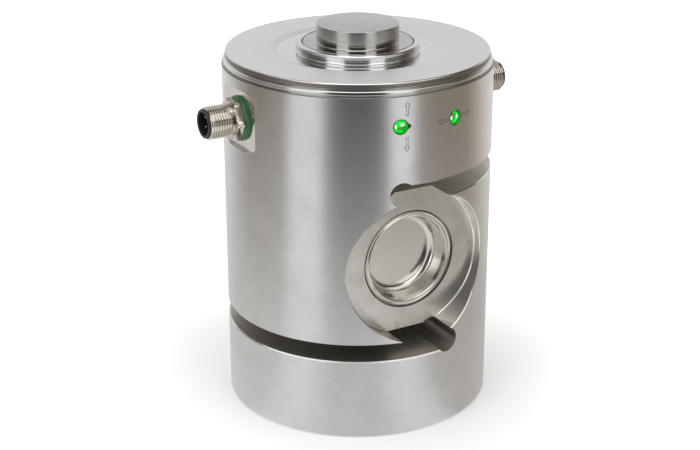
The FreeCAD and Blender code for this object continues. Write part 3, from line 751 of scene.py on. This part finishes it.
rim_inner = 43.5
rim = turned("rim_weld_ring_finish", [
    (rim_inner, ring_seat),
    (rim_radius - 0.55, ring_seat, 0.1),
    (rim_radius - 0.55, ring_seat + 0.35, 0.1),
    (rim_radius, ring_seat + 0.55, 0.4),
    (rim_radius, cover_seat - 0.45, 0.5),
    (rim_radius - 0.9, cover_seat, 0.3),
    (rim_inner, cover_seat),
])
finish_piece(rim, "rim_weld_ring", "turned_steel", ring_steel)

# %% The cover
membrane, step_depth = 0.8, 0.9
step_outer, step_inner = 32.6, 29.6
neck_inner = flange_radius + 0.25
neck_outer = neck_inner + 1.9
spigot = rim_inner - 0.15
step_low = cover_top - step_depth
cover = turned("cover_diaphragm_finish", [
    (spigot - 1.0, cover_seat - 1.2),
    (spigot, cover_seat - 1.2),
    (spigot, cover_seat),
    (cover_radius - 0.45, cover_seat, 0.1),
    (cover_radius, cover_seat + 0.4, 0.4),
    (cover_radius, cover_top, 0.75),
    (step_outer, cover_top, 1.6),
    (step_inner, step_low, 0.8),
    (neck_outer, step_low, 0.4),
    (neck_outer, neck_top, 0.15),
    (neck_inner, neck_top, 0.1),
    (neck_inner, step_low - membrane),
    (step_inner, step_low - membrane, 1.6),
    (step_outer, cover_top - membrane, 0.8),
    (spigot - 1.0, cover_top - membrane, 0.8),
])
finish_piece(cover, "cover_diaphragm", "satin_cover", cover_steel, recess_steel, ring_steel, edge_steel)
recess_reach, bead_width, edge_width = step_inner + 0.6, 0.75, 0.2
edge_low, edge_high = cover_seat + 0.4, cover_top - 0.5
reach, level = distance_from(face_middles(cover), (0, 0, 0), 2), face_middles(cover)[:, 2]
polished = np.where(reach < recess_reach, 1, np.where(reach > cover_radius - bead_width, 2, 0))
on_edge = (reach > cover_radius - edge_width) & (level > edge_low) & (level < edge_high)
polished[on_edge] = 3
cover.data.polygons.foreach_set("material_index", polished)
print("cover faces, satin, recess, bead, edge:", np.bincount(polished))

collar = turned("collar_weld_ring_finish", [
    (neck_inner, neck_top),
    (collar_radius - 0.3, neck_top, 0.1),
    (collar_radius, neck_top + 0.3, 0.15),
    (collar_radius, collar_top - 0.3, 0.25),
    (collar_radius - 0.35, collar_top, 0.2),
    (neck_inner, collar_top, 0.3),
])
finish_piece(collar, "collar_weld_ring", "turned_steel", ring_steel)

# %% [markdown]
# ## Sealing cups
# The cups are pressed from thin sheet: a flat lip, two rolled crests, a wall that leans in, and a flat
# floor. The same profile is carried round an axis that points out of the front or the back pocket. The
# narrow gap outside the crests gets a dark material, as painted shade.

# %% Cups
cup_profile = [
    (0, -7.8),
    (14.6, -7.8, 2.6),
    (16.0, -2.3, 0.9),
    (16.2, -0.55, 0.25),
    (16.65, -0.3, 0.25),
    (17.15, -0.6, 0.2),
    (17.5, -0.6, 0.2),
    (17.9, -0.3, 0.2),
    (18.12, -0.5, 0.12),
    (18.12, -1.1, 0.12),
    (18.6, -1.1, 0.12),
    (18.6, -1.3),
    (17.0, -1.3),
    (17.0, -2.1, 0.9),
    (15.4, -8.6, 2.0),
    (0, -8.6),
][::-1]
cup_shade_radius = 18.08
for end in ("front", "rear"):
    origin = pocket_origin(toward[end])
    cup = turned(end + "_seal_cup_finish", cup_profile, False, axes_along(toward[end]), origin)
    finish_piece(cup, end + "_seal_cup", "satin_cup", cup_steel, etched_and_shade)
    # Faces in the gap outside the crests get the dark material: painted shade.
    in_painted_shade = distance_from(face_middles(cup), origin, 1) > cup_shade_radius
    cup.data.polygons.foreach_set("material_index", in_painted_shade.astype(int))

# %% [markdown]
# ## Connectors
# Each connector is a nickel-plated shell with a fine 12 mm thread, a hexagon to hold it by, and a rubber
# seal against the flat. The thread is one surface: its radius goes up and down with the height above the
# wall minus the share of a turn, which makes a true helix. The hexagon is a circle whose radius reaches
# out to its corners, cut back by a cone.

# %% Sizes of the connectors
connector_height = middle_height("left_connector_shell")
seal_thickness = node_box("right_connector_seal")[1][0] - connector_flat
shell_end = node_box("right_connector_shell")[1][0] - connector_flat
insert_head = node_box("right_connector_insert")[1][0] - connector_flat - shell_end
hex_flats, hex_height, neck_length, neck_radius = 14.0, 3.0, 0.8, 5.2
crest_radius, thread_depth, thread_pitch, thread_run_out = 5.98, 0.42, 1.0, 0.35
tail_length, tail_radius, tail_bore, tail_bevel = 7.0, 6.0, 3.6, 0.3
shell_bore, bore_start, lip_radius = 4.95, -3.0, 5.5
hex_top = seal_thickness + hex_height
neck_end = hex_top + neck_length
thread_length = shell_end - neck_end
shell_step, thread_sharp = 3.0, 28  # degrees round the axis between rows, and past which an edge is sharp
around = np.radians(np.arange(0, 360 + shell_step / 2, shell_step))
print("thread", round(thread_length, 2), "mm long, from", round(neck_end, 2), "mm above the flat")

# %% Thread and hexagon
# Shares of one pitch, and where it bends: middle and end of the crest, the root, start of the crest.
half_root, flank = 0.06, 0.14
thread_bends = 0.5 + np.array([-0.5, -half_root - flank, -half_root, half_root, half_root + flank])


def hexagon_radius(angle, flats):
    """Distance from the centre to a hexagon's side: half its width over the cosine to that side."""
    return flats / 2 / np.cos((angle + np.pi / 6) % (np.pi / 3) - np.pi / 6)


def thread_wave(angle, height):
    """1 on the flat crest, 0 in the flat root, with straight flanks between, by the share of a pitch."""
    share = (height / thread_pitch - angle / (2 * np.pi)) % 1.0
    return np.clip((np.abs(share - 0.5) - half_root) / flank, 0, 1)


print("thread at its bends:", thread_wave(0, thread_bends * thread_pitch).round(2))

# %% Shells


def shell_grid():
    """Rows round the axis, columns along the outside from the tail to the tip and back down the bore.

    The thread's columns climb with the helix, by a pitch for each turn, so its edges run along them. The
    last row lies on the first, where each column meets the next turn of itself.
    """
    angle = around[:, None]
    corner = hexagon_radius(angle, hex_flats)
    bevel, widest, narrow = 0.5, hex_flats / 2 / math.cos(math.pi / 6), hex_flats / 2 + 0.05

    def ring(radius, height):
        return np.concatenate([np.broadcast_to(value, angle.shape) for value in (radius, height)], 1)

    def hex_ring(limit, height):
        return ring(np.minimum(corner, limit), height)

    tail = [(tail_bore, -tail_length), (tail_radius - tail_bevel, -tail_length)]
    tail += [(tail_radius, tail_bevel - tail_length), (tail_radius, seal_thickness)]
    hexagon = [(narrow, seal_thickness), (widest - 0.25, seal_thickness + bevel * 0.6)]
    hexagon += [(widest, seal_thickness + bevel), (widest, hex_top - bevel)]
    hexagon += [(widest - 0.55, hex_top - bevel * 0.45), (narrow, hex_top)]
    neck = [(neck_radius, hex_top), (neck_radius, neck_end)]
    bore = [(lip_radius, shell_end), (shell_bore, shell_end)]
    bore += [(shell_bore, bore_start), (tail_bore, bore_start)]
    plain = [ring(*place) for place in tail]
    plain += [hex_ring(*place) for place in hexagon] + [ring(*place) for place in neck]
    turns = np.arange(-1, math.ceil(thread_length / thread_pitch) + 1)[:, None]
    climb = (turns + thread_bends).reshape(1, -1) + angle / (2 * np.pi)
    thread = np.clip(climb * thread_pitch, 0, thread_length)
    fade = np.clip(np.minimum(thread, thread_length - thread) / thread_run_out, 0, 1)
    groove = thread_depth * (1 - fade * (1 - thread_wave(angle, thread)))
    threaded = np.stack([np.minimum(crest_radius - groove, crest_radius), neck_end + thread], 2)
    inside = np.stack([ring(*place) for place in bore], 1)
    across, height = np.moveaxis(np.concatenate([np.stack(plain, 1), threaded, inside], 1), 2, 0)
    return np.stack([across * np.cos(angle), across * np.sin(angle), height], 2)


def connector_frame(direction):
    """Axes and origin of a connector, with its first axis pointing up."""
    return axes_along(direction), np.array([direction[0] * connector_flat, 0, connector_height])


for end in ("left", "right"):
    axes, origin = connector_frame(toward[end])
    node, grid = end + "_connector_shell", shell_grid() @ axes.T + origin
    shell = surface(node + "_finish", grid, False, True, sharp=thread_sharp)
    finish_piece(shell, node, "shell_nickel", nickel)

# %% [markdown]
# The seal is a rubber ring squeezed under the hexagon, with a thin foot and a fat bead. The black
# insulator stands a little proud of the thread and has a deep round socket, where the pins stand.

# %% Seals and inserts
seal_profile = [
    (6.15, 0, 0.1),
    (8.25, 0, 0.2),
    (8.25, 0.5, 0.2),
    (7.85, 0.65, 0.1),
    (8.05, 0.85, 0.2),
    (8.05, seal_thickness - 0.1, 0.3),
    (7.5, seal_thickness, 0.2),
    (6.15, seal_thickness, 0.1),
]
insert_radius, socket_radius, socket_depth = 5.3, 4.2, 8.0
face = shell_end + insert_head
insert_profile = [
    (0, bore_start),
    (shell_bore - 0.05, bore_start),
    (shell_bore - 0.05, shell_end),
    (insert_radius, shell_end, 0.1),
    (insert_radius, face, 0.35),
    (socket_radius, face, 0.3),
    (socket_radius, face - socket_depth, 0.1),
    (0, face - socket_depth),
]
for end in ("left", "right"):
    placed = (*connector_frame(toward[end]), small_turn_steps)
    seal = turned(end + "_connector_seal_finish", seal_profile, True, *placed)
    finish_piece(seal, end + "_connector_seal", "seal_rubber", seal_green)
    insert = turned(end + "_connector_insert_finish", insert_profile, False, *placed)
    finish_piece(insert, end + "_connector_insert", "insert_black", insert_black)

# %% [markdown]
# ## Etched arrows
# Beside each lamp the wall carries fine arrows that tell which way to level the cell. Each is a thin
# line round a block arrow. The outline is moved inwards for the line's other edge, and both are wrapped
# on the wall: a distance along the wall becomes an angle round the axis.

# %% Arrows on the wall
line_width, line_lift = 0.22, 0.02
arrow_outline = np.array([
    (-0.5, -2.6), (0.5, -2.6), (0.5, 0.9), (1.15, 0.9), (0.0, 2.6), (-1.15, 0.9), (-0.5, 0.9),
])


def offset_outline(outline, distance):
    """Each corner moved by its sides' two inward normals added up, times distance / (1 + cos turn)."""
    after = np.roll(outline, -1, 0) - outline
    after /= np.linalg.norm(after, axis=1, keepdims=True)
    before = np.roll(after, 1, 0)
    inward = np.stack([-before[:, 1] - after[:, 1], before[:, 0] + after[:, 0]], 1)
    return outline + inward * (distance / (1 + (before * after).sum(1)))[:, None]


def subdivided(outline, steps):
    """Points along each side of an outline."""
    share = np.linspace(0, 1, steps, endpoint=False)[:, None]
    following = np.roll(outline, -1, 0)
    return (outline[:, None] * (1 - share) + following[:, None] * share).reshape(-1, 2)


def wall_ribbon(name, outer, inner, azimuth, height, slot, material):
    """A thin closed ribbon between two outlines of (right, up) points, wrapped on the wall.

    A distance to the right becomes an angle round the axis: azimuth + distance / radius. The ribbon
    stands proud of the wall by the line's lift, and reaches as deep into it.
    """

    def wrapped(outline, lift):
        angle = math.radians(azimuth) + outline[:, 0] / body_radius
        radius = body_radius + lift
        return np.stack([radius * np.sin(angle), -radius * np.cos(angle), height + outline[:, 1]], 1)

    rows = [wrapped(inner, -line_lift), wrapped(inner, line_lift)]
    rows += [wrapped(outer, line_lift), wrapped(outer, -line_lift)]
    ribbon = surface(name, np.stack(rows), True, True, sharp=sharp_degrees)
    return finish_piece(ribbon, None, slot, material)


arrows = {
    "arrow_up": (-lamp_azimuth + 2.7, lamp_height + 6.3, 0),
    "arrow_down": (-lamp_azimuth + 2.7, lamp_height - 6.6, 180),
    "arrow_left": (lamp_azimuth - 6.4, lamp_height - 0.3, 90),
    "arrow_right": (lamp_azimuth + 6.4, lamp_height + 0.3, -90),
}
side_steps = 6
arrow_outer = subdivided(arrow_outline, side_steps)
arrow_inner = subdivided(offset_outline(arrow_outline, line_width), side_steps)
for name, (azimuth, height, turn) in arrows.items():
    angle = math.radians(turn)
    spin = np.array([[math.cos(angle), math.sin(angle)], [-math.sin(angle), math.cos(angle)]])
    wall_ribbon(name, arrow_outer @ spin, arrow_inner @ spin, azimuth, height, "brushed_body", etched_and_shade)

# %% [markdown]
# ## Lamps
# A lamp is one clear moulding: a flange that stays behind the wall, a barrel in the hole, and a dome
# that stands out of it. As a turned profile its dome is perfectly smooth, so its highlight is too.

# %% Lamps
lamp_radius, lamp_flange_radius, lamp_flange, lamp_length, lamp_proud = 2.5, 2.9, 1.0, 8.6, 0.25
lamp_steps = 72
lamp_back = body_radius + lamp_proud - lamp_length
lamp_profile = [
    (0, 0),
    (lamp_flange_radius, 0, 0.1),
    (lamp_flange_radius, lamp_flange, 0.1),
    (lamp_radius, lamp_flange, 0.1),
    (lamp_radius, lamp_length, lamp_radius - 0.1),
    (0, lamp_length),
]
for end, azimuth in (("left", -lamp_azimuth), ("right", lamp_azimuth)):
    direction = np.array([math.sin(math.radians(azimuth)), -math.cos(math.radians(azimuth)), 0])
    origin = np.array([0, 0, lamp_height]) + direction * lamp_back
    lamp = turned(end + "_lamp_finish", lamp_profile, False, axes_along(direction), origin, lamp_steps)
    finish_piece(lamp, end + "_lamp", "lamp_green", lamp_green[end])

# %% [markdown]
# A thin dark ring round each lamp is painted shade, for the shadowed gap between the lamp and its hole.
# It is the same kind of ribbon as an arrow. Its inner edge is a circle, and its outer edge waves a
# little. Round the left lamp it also runs out to one side into a small dark patch, by a high power of the
# cosine, which is narrow and on that side only.

# %% Painted shade round the lamps
shade_ring_inner, shade_ring_outer, shade_ring_wave, waves_round, run_out_power = 2.45, 2.78, 0.06, 3, 24
angle = np.linspace(0, 2 * np.pi, small_turn_steps, endpoint=False)
circle = np.stack([np.cos(angle), np.sin(angle)], 1)
# The ring is painted shade, in the holder's black.
for end, azimuth, dark_patch_reach in (("left", -lamp_azimuth, 1.1), ("right", lamp_azimuth, 0.0)):
    run_out = dark_patch_reach * np.clip(circle[:, 0], 0, 1) ** run_out_power
    outer = (shade_ring_outer + shade_ring_wave * np.sin(waves_round * angle + azimuth) + run_out)[:, None] * circle
    inner, name = shade_ring_inner * circle, end + "_lamp_sealant"
    wall_ribbon(name, outer, inner, azimuth, lamp_height, "holder_black", holder_black)

# %% [markdown]
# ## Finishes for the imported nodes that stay
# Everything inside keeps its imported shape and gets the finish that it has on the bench.

# %% Inner parts
finish_of = {
    "circuit_board": board_green,
    "board_spacers": brass,
    "board_screws": tin,
    "processor_chip": chip_black,
    "converter_chip": chip_black,
    "driver_chip": chip_black,
    "tilt_sensor": can_metal,
    "power_capacitors": can_metal,
    "strain_gauge": film_amber,
    "terminal_pad": tin,
    "gauge_leads": sleeve_red,
    "lamp_holder": holder_black,
    "connector_pins": gold,
    "connector_leads": sleeve_red,
    "lead_header": nylon,
}
kept = 0
for name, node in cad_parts.items():
    side, _, rest = name.partition("_")
    material = finish_of.get(rest if side in toward else name)
    if material is None:
        continue
    node.data.materials.clear()
    node.data.materials.append(material)
    kept += 1
print("nodes with their packed shape:", kept)

# %% [markdown]
# ## Camera
# The camera stands in front of the left connector's side and looks down by 21.7 degrees. Its distance is
# six diameters of the body, which gives the gentle perspective of a product photograph.

# %% Camera
camera_azimuth = math.radians(-30)
camera_elevation = math.radians(21.70)
camera_distance = 0.600
side_turn = -0.00474  # puts the cell a little beside the middle of the picture, as it is in the photo
aim = Vector((0, 0, 0.064475))
toward_camera = Vector((math.sin(camera_azimuth), -math.cos(camera_azimuth), 0))
beside_camera = Vector((math.cos(camera_azimuth), math.sin(camera_azimuth), 0))
back = toward_camera * math.cos(camera_elevation) + Vector((0, 0, math.sin(camera_elevation)))
camera_data = bpy.data.cameras.new("camera")
camera_data.lens = 80.55
camera_data.sensor_width = 36.0
camera_data.clip_start = 0.05
camera = add_object("camera", camera_data)
camera.location = aim + back * camera_distance
camera.rotation_mode = "QUATERNION"
camera.rotation_quaternion = (-back + beside_camera * side_turn).to_track_quat("-Z", "Y")
bpy.context.scene.camera = camera
print("camera at", [round(v, 4) for v in camera.location])

# %% [markdown]
# ## Studio
# Steel has no colour of its own: it shows the room. So the room is described once, by how bright it is
# in each direction round the cell: two tall pale screens stand left and right of the camera, the
# camera's own side is dark, the sides are dim and a little warm, and the wall behind is bright. Near the
# cell the floor is lit evenly, so there the differences are small, and further out they are strong.
# That is why the bands on the wall fade towards the foot of the cell.

# %% Room by direction
# Angle from the camera's side in degrees (left is negative), brightness, and how warm the light is.
room_far = [
    (-180, 0.90, 0.0), (-138, 0.94, 0.0), (-126, 0.84, 0.05), (-114, 0.60, 0.08), (-98, 0.35, 0.2),
    (-74, 0.36, 0.2), (-60, 0.39, 0.15), (-54, 0.96, 0.0), (-31, 1.0, 0.0), (-22, 0.12, 0.05),
    (-8, 0.04, 0.1), (8, 0.04, 0.1), (21, 0.08, 0.1), (29, 1.05, 0.0), (42, 1.05, 0.0), (49, 0.34, 0.22),
    (66, 0.31, 0.34), (98, 0.33, 0.34), (112, 0.56, 0.25), (124, 0.80, 0.15), (140, 0.92, 0.05),
    (180, 0.90, 0.0),
]
room_near = [
    (-180, 0.80, 0.0), (-140, 0.80, 0.0), (-110, 0.80, 0.02), (-75, 0.88, 0.02), (-60, 0.88, 0.0),
    (-50, 1.02, 0.0), (-34, 1.04, 0.0), (-22, 0.92, 0.0), (-12, 0.86, 0.0), (14, 0.86, 0.0),
    (22, 0.94, 0.0), (32, 1.0, 0.0), (44, 0.94, 0.0), (54, 0.70, 0.05), (75, 0.68, 0.1),
    (120, 0.66, 0.1), (145, 0.76, 0.08), (165, 0.80, 0.0), (180, 0.80, 0.0),
]

# %% [markdown]
# Round parts such as the button, the beads and the threads also mirror what is above the horizon, so
# the room has four more bands of height. First the screens are at their brightest and the wall behind
# falls off. Higher up there is a window beside the right screen, and then a dark door. Above that the
# screens lean over the cell, so the camera's side is pale too, and at the top the dark reaches further
# round. Each band takes over while a ray's height, from 0 level to 1 straight up, goes from the first
# of its two values to the second.

# %% Room by height
room_above = [
    (-180, 0.84, 0.0), (-136, 0.84, 0.0), (-122, 0.40, 0.1), (-98, 0.10, 0.2), (-74, 0.08, 0.2),
    (-62, 0.12, 0.15), (-57, 1.85, 0.0), (-28, 1.85, 0.0), (-23, 0.14, 0.05), (-8, 0.10, 0.1),
    (8, 0.10, 0.1), (20, 0.10, 0.1), (25, 1.85, 0.0), (48, 1.85, 0.0), (54, 0.12, 0.25),
    (66, 0.08, 0.3), (98, 0.10, 0.3), (122, 0.40, 0.2), (136, 0.84, 0.05), (180, 0.84, 0.0),
]
room_middle = [
    (-180, 0.84, 0.0), (-136, 0.84, 0.0), (-122, 0.40, 0.1), (-98, 0.10, 0.2), (-60, 0.10, 0.15),
    (-56, 1.5, 0.0), (-28, 1.5, 0.0), (-23, 0.12, 0.05), (20, 0.12, 0.1), (25, 1.5, 0.0), (48, 1.5, 0.0),
    (54, 1.0, 0.05), (90, 1.0, 0.08), (99, 0.12, 0.3), (146, 0.12, 0.2), (158, 0.84, 0.0),
    (180, 0.84, 0.0),
]
leaning_screens = [
    (-104, 0.95, 0.0), (-80, 1.15, 0.0), (-42, 1.15, 0.0), (-18, 0.60, 0.0), (18, 0.60, 0.0),
    (42, 1.15, 0.0), (88, 1.15, 0.08),
]
room_high = [
    (-180, 0.80, 0.0), (-158, 0.74, 0.0), (-126, 0.34, 0.1), *leaning_screens, (99, 0.12, 0.3),
    (126, 0.06, 0.3), (146, 0.10, 0.3), (158, 0.76, 0.0), (180, 0.80, 0.0),
]
room_top = [
    (-180, 0.60, 0.0), (-158, 0.60, 0.0), (-126, 0.40, 0.1), *leaning_screens, (99, 0.10, 0.3),
    (126, 0.06, 0.3), (166, 0.08, 0.3), (176, 0.50, 0.0), (180, 0.60, 0.0),
]
room_by_height = [
    (room_above, 0.0, 0.08),
    (room_middle, 0.385, 0.44),
    (room_high, 0.58, 0.64),
    (room_top, 0.74, 0.80),
]
print("angles in the room's tables:", len(room_far), [len(bands) for bands, _, _ in room_by_height])

# %% [markdown]
# A world shader finds the angle of a ray round the cell and reads one colour ramp for each band of
# height. The camera itself sees plain white, as the picture's background is.

# %% World light


def room_ramp(nodes, share, bands):
    """Colour ramp round the horizon: its position is the angle as a share of the whole circle.

    Warm light keeps its red, loses that share of its blue, and a little under half of it in green.
    """
    ramp = nodes.add("ShaderNodeValToRGB", {0: share})
    stops = ramp.color_ramp.elements
    colours = [(level, level * (1 - 0.45 * warm), level * (1 - warm), 1) for _, level, warm in bands]
    stops[0].color, stops[1].color = colours[0], colours[-1]
    for (degrees, _, _), colour in list(zip(bands, colours))[1:-1]:
        stops.new((degrees + 180) / 360).color = colour
    return ramp.outputs[0]


def angle_share(nodes, x, y):
    """Angle of (x, y) from the camera's side, from 0 at -180 degrees to 1 at 180 degrees."""

    def along(axis):
        return nodes.plus(nodes.times(x, axis.x), nodes.times(y, axis.y))

    angle = nodes.math("ARCTAN2", along(beside_camera), along(toward_camera))
    return nodes.spread(angle, -math.pi, math.pi)


def room_light():
    """World light: one ramp for each band of height, blended by how far up a ray goes."""
    world = bpy.data.worlds.new("room")
    bpy.context.scene.world = world
    world.use_nodes = True
    nodes = Nodes(world.node_tree)
    x, y, height = nodes.split(nodes.add("ShaderNodeTexCoord").outputs["Generated"])
    share = angle_share(nodes, x, y)
    colour = room_ramp(nodes, share, room_far)
    for bands, low, high in room_by_height:
        colour = nodes.mix(nodes.spread(height, low, high), colour, room_ramp(nodes, share, bands))
    camera_ray = nodes.add("ShaderNodeLightPath").outputs["Is Camera Ray"]
    shown = nodes.mix(camera_ray, colour, (1, 1, 1, 1))
    nodes.fill(world.node_tree.nodes["Background"], {"Color": shown})


room_light()

# %% [markdown]
# The floor is a plain pale sheet that takes the shadow of the cell. To the camera a little light of its
# own lifts it to white. Metal sees the floor as the room lights it: evenly near the cell, and with the
# room's bright and dark sides further out.

# %% Floor
floor_reach = 3.0
# Between the first two distances metal sees the even light change to the room's light. Between the other
# two the lift grows from its least to its full value, so the shadow stays round the cell's foot.
near_distance, far_distance = 0.150, 0.370
shadow_distance, white_distance, least_lift, full_lift = 0.05, 0.14, 0.24, 0.6
floor_corners = np.array([(-1, -1, 0), (1, -1, 0), (1, 1, 0), (-1, 1, 0)]) * floor_reach
floor_mesh = bpy.data.meshes.new("floor")
floor_mesh.from_pydata(floor_corners.tolist(), [], [(0, 1, 2, 3)])
floor = add_object("floor", floor_mesh)


def floor_material():
    """Diffuse white with a lift to the camera. Glossy rays get the room's light by place instead."""
    material, nodes, shader = new_material("floor paint")
    place = nodes.place()
    x, y, _ = nodes.split(place)
    distance = nodes.add("ShaderNodeVectorMath", {0: place}, operation="LENGTH").outputs["Value"]
    rays = nodes.add("ShaderNodeLightPath").outputs
    lift = nodes.spread(distance, shadow_distance, white_distance, least_lift, full_lift)
    nodes.fill(shader, {
        "Base Color": (0.88, 0.88, 0.88, 1),
        "Roughness": 0.9,
        "Specular IOR Level": 0.1,
        "Emission Color": (1, 1, 1, 1),
        "Emission Strength": nodes.times(rays["Is Camera Ray"], lift),
    })
    share = angle_share(nodes, x, y)
    far = nodes.spread(distance, near_distance, far_distance)
    colour = nodes.mix(far, room_ramp(nodes, share, room_near), room_ramp(nodes, share, room_far))
    seen = nodes.add("ShaderNodeEmission", {"Color": colour}).outputs[0]
    mirrored = nodes.math("MAXIMUM", rays["Is Glossy Ray"], rays["Is Transmission Ray"])
    both = nodes.add("ShaderNodeMixShader", {0: mirrored, 1: shader.outputs[0], 2: seen}).outputs[0]
    nodes.fill(material.node_tree.nodes["Material Output"], {"Surface": both})
    return material


floor_mesh.materials.append(floor_material())
print("floor reaches", floor_reach, "m from the cell's axis")

# %% [markdown]
# The room gives nearly all of the light. One large soft lamp high over the cell adds the gentle shadow
# round its foot and lifts the flat top.

# %% Soft lamp
overhead_height, overhead_forward = 1.2, 0.1
lamp_data = bpy.data.lights.new("overhead lamp", "AREA")
lamp_data.shape = "RECTANGLE"
lamp_data.size, lamp_data.size_y = 0.7, 0.7
lamp_data.energy = 3
overhead_lamp = add_object("overhead lamp", lamp_data)
overhead_lamp.location = Vector((0, 0, overhead_height)) + toward_camera * overhead_forward
overhead_lamp.rotation_mode = "QUATERNION"
overhead_lamp.rotation_quaternion = (-overhead_lamp.location).to_track_quat("-Z", "Y")
bpy.context.scene.view_settings.view_transform = "Standard"
print("lamps:", [light.name for light in bpy.data.lights])
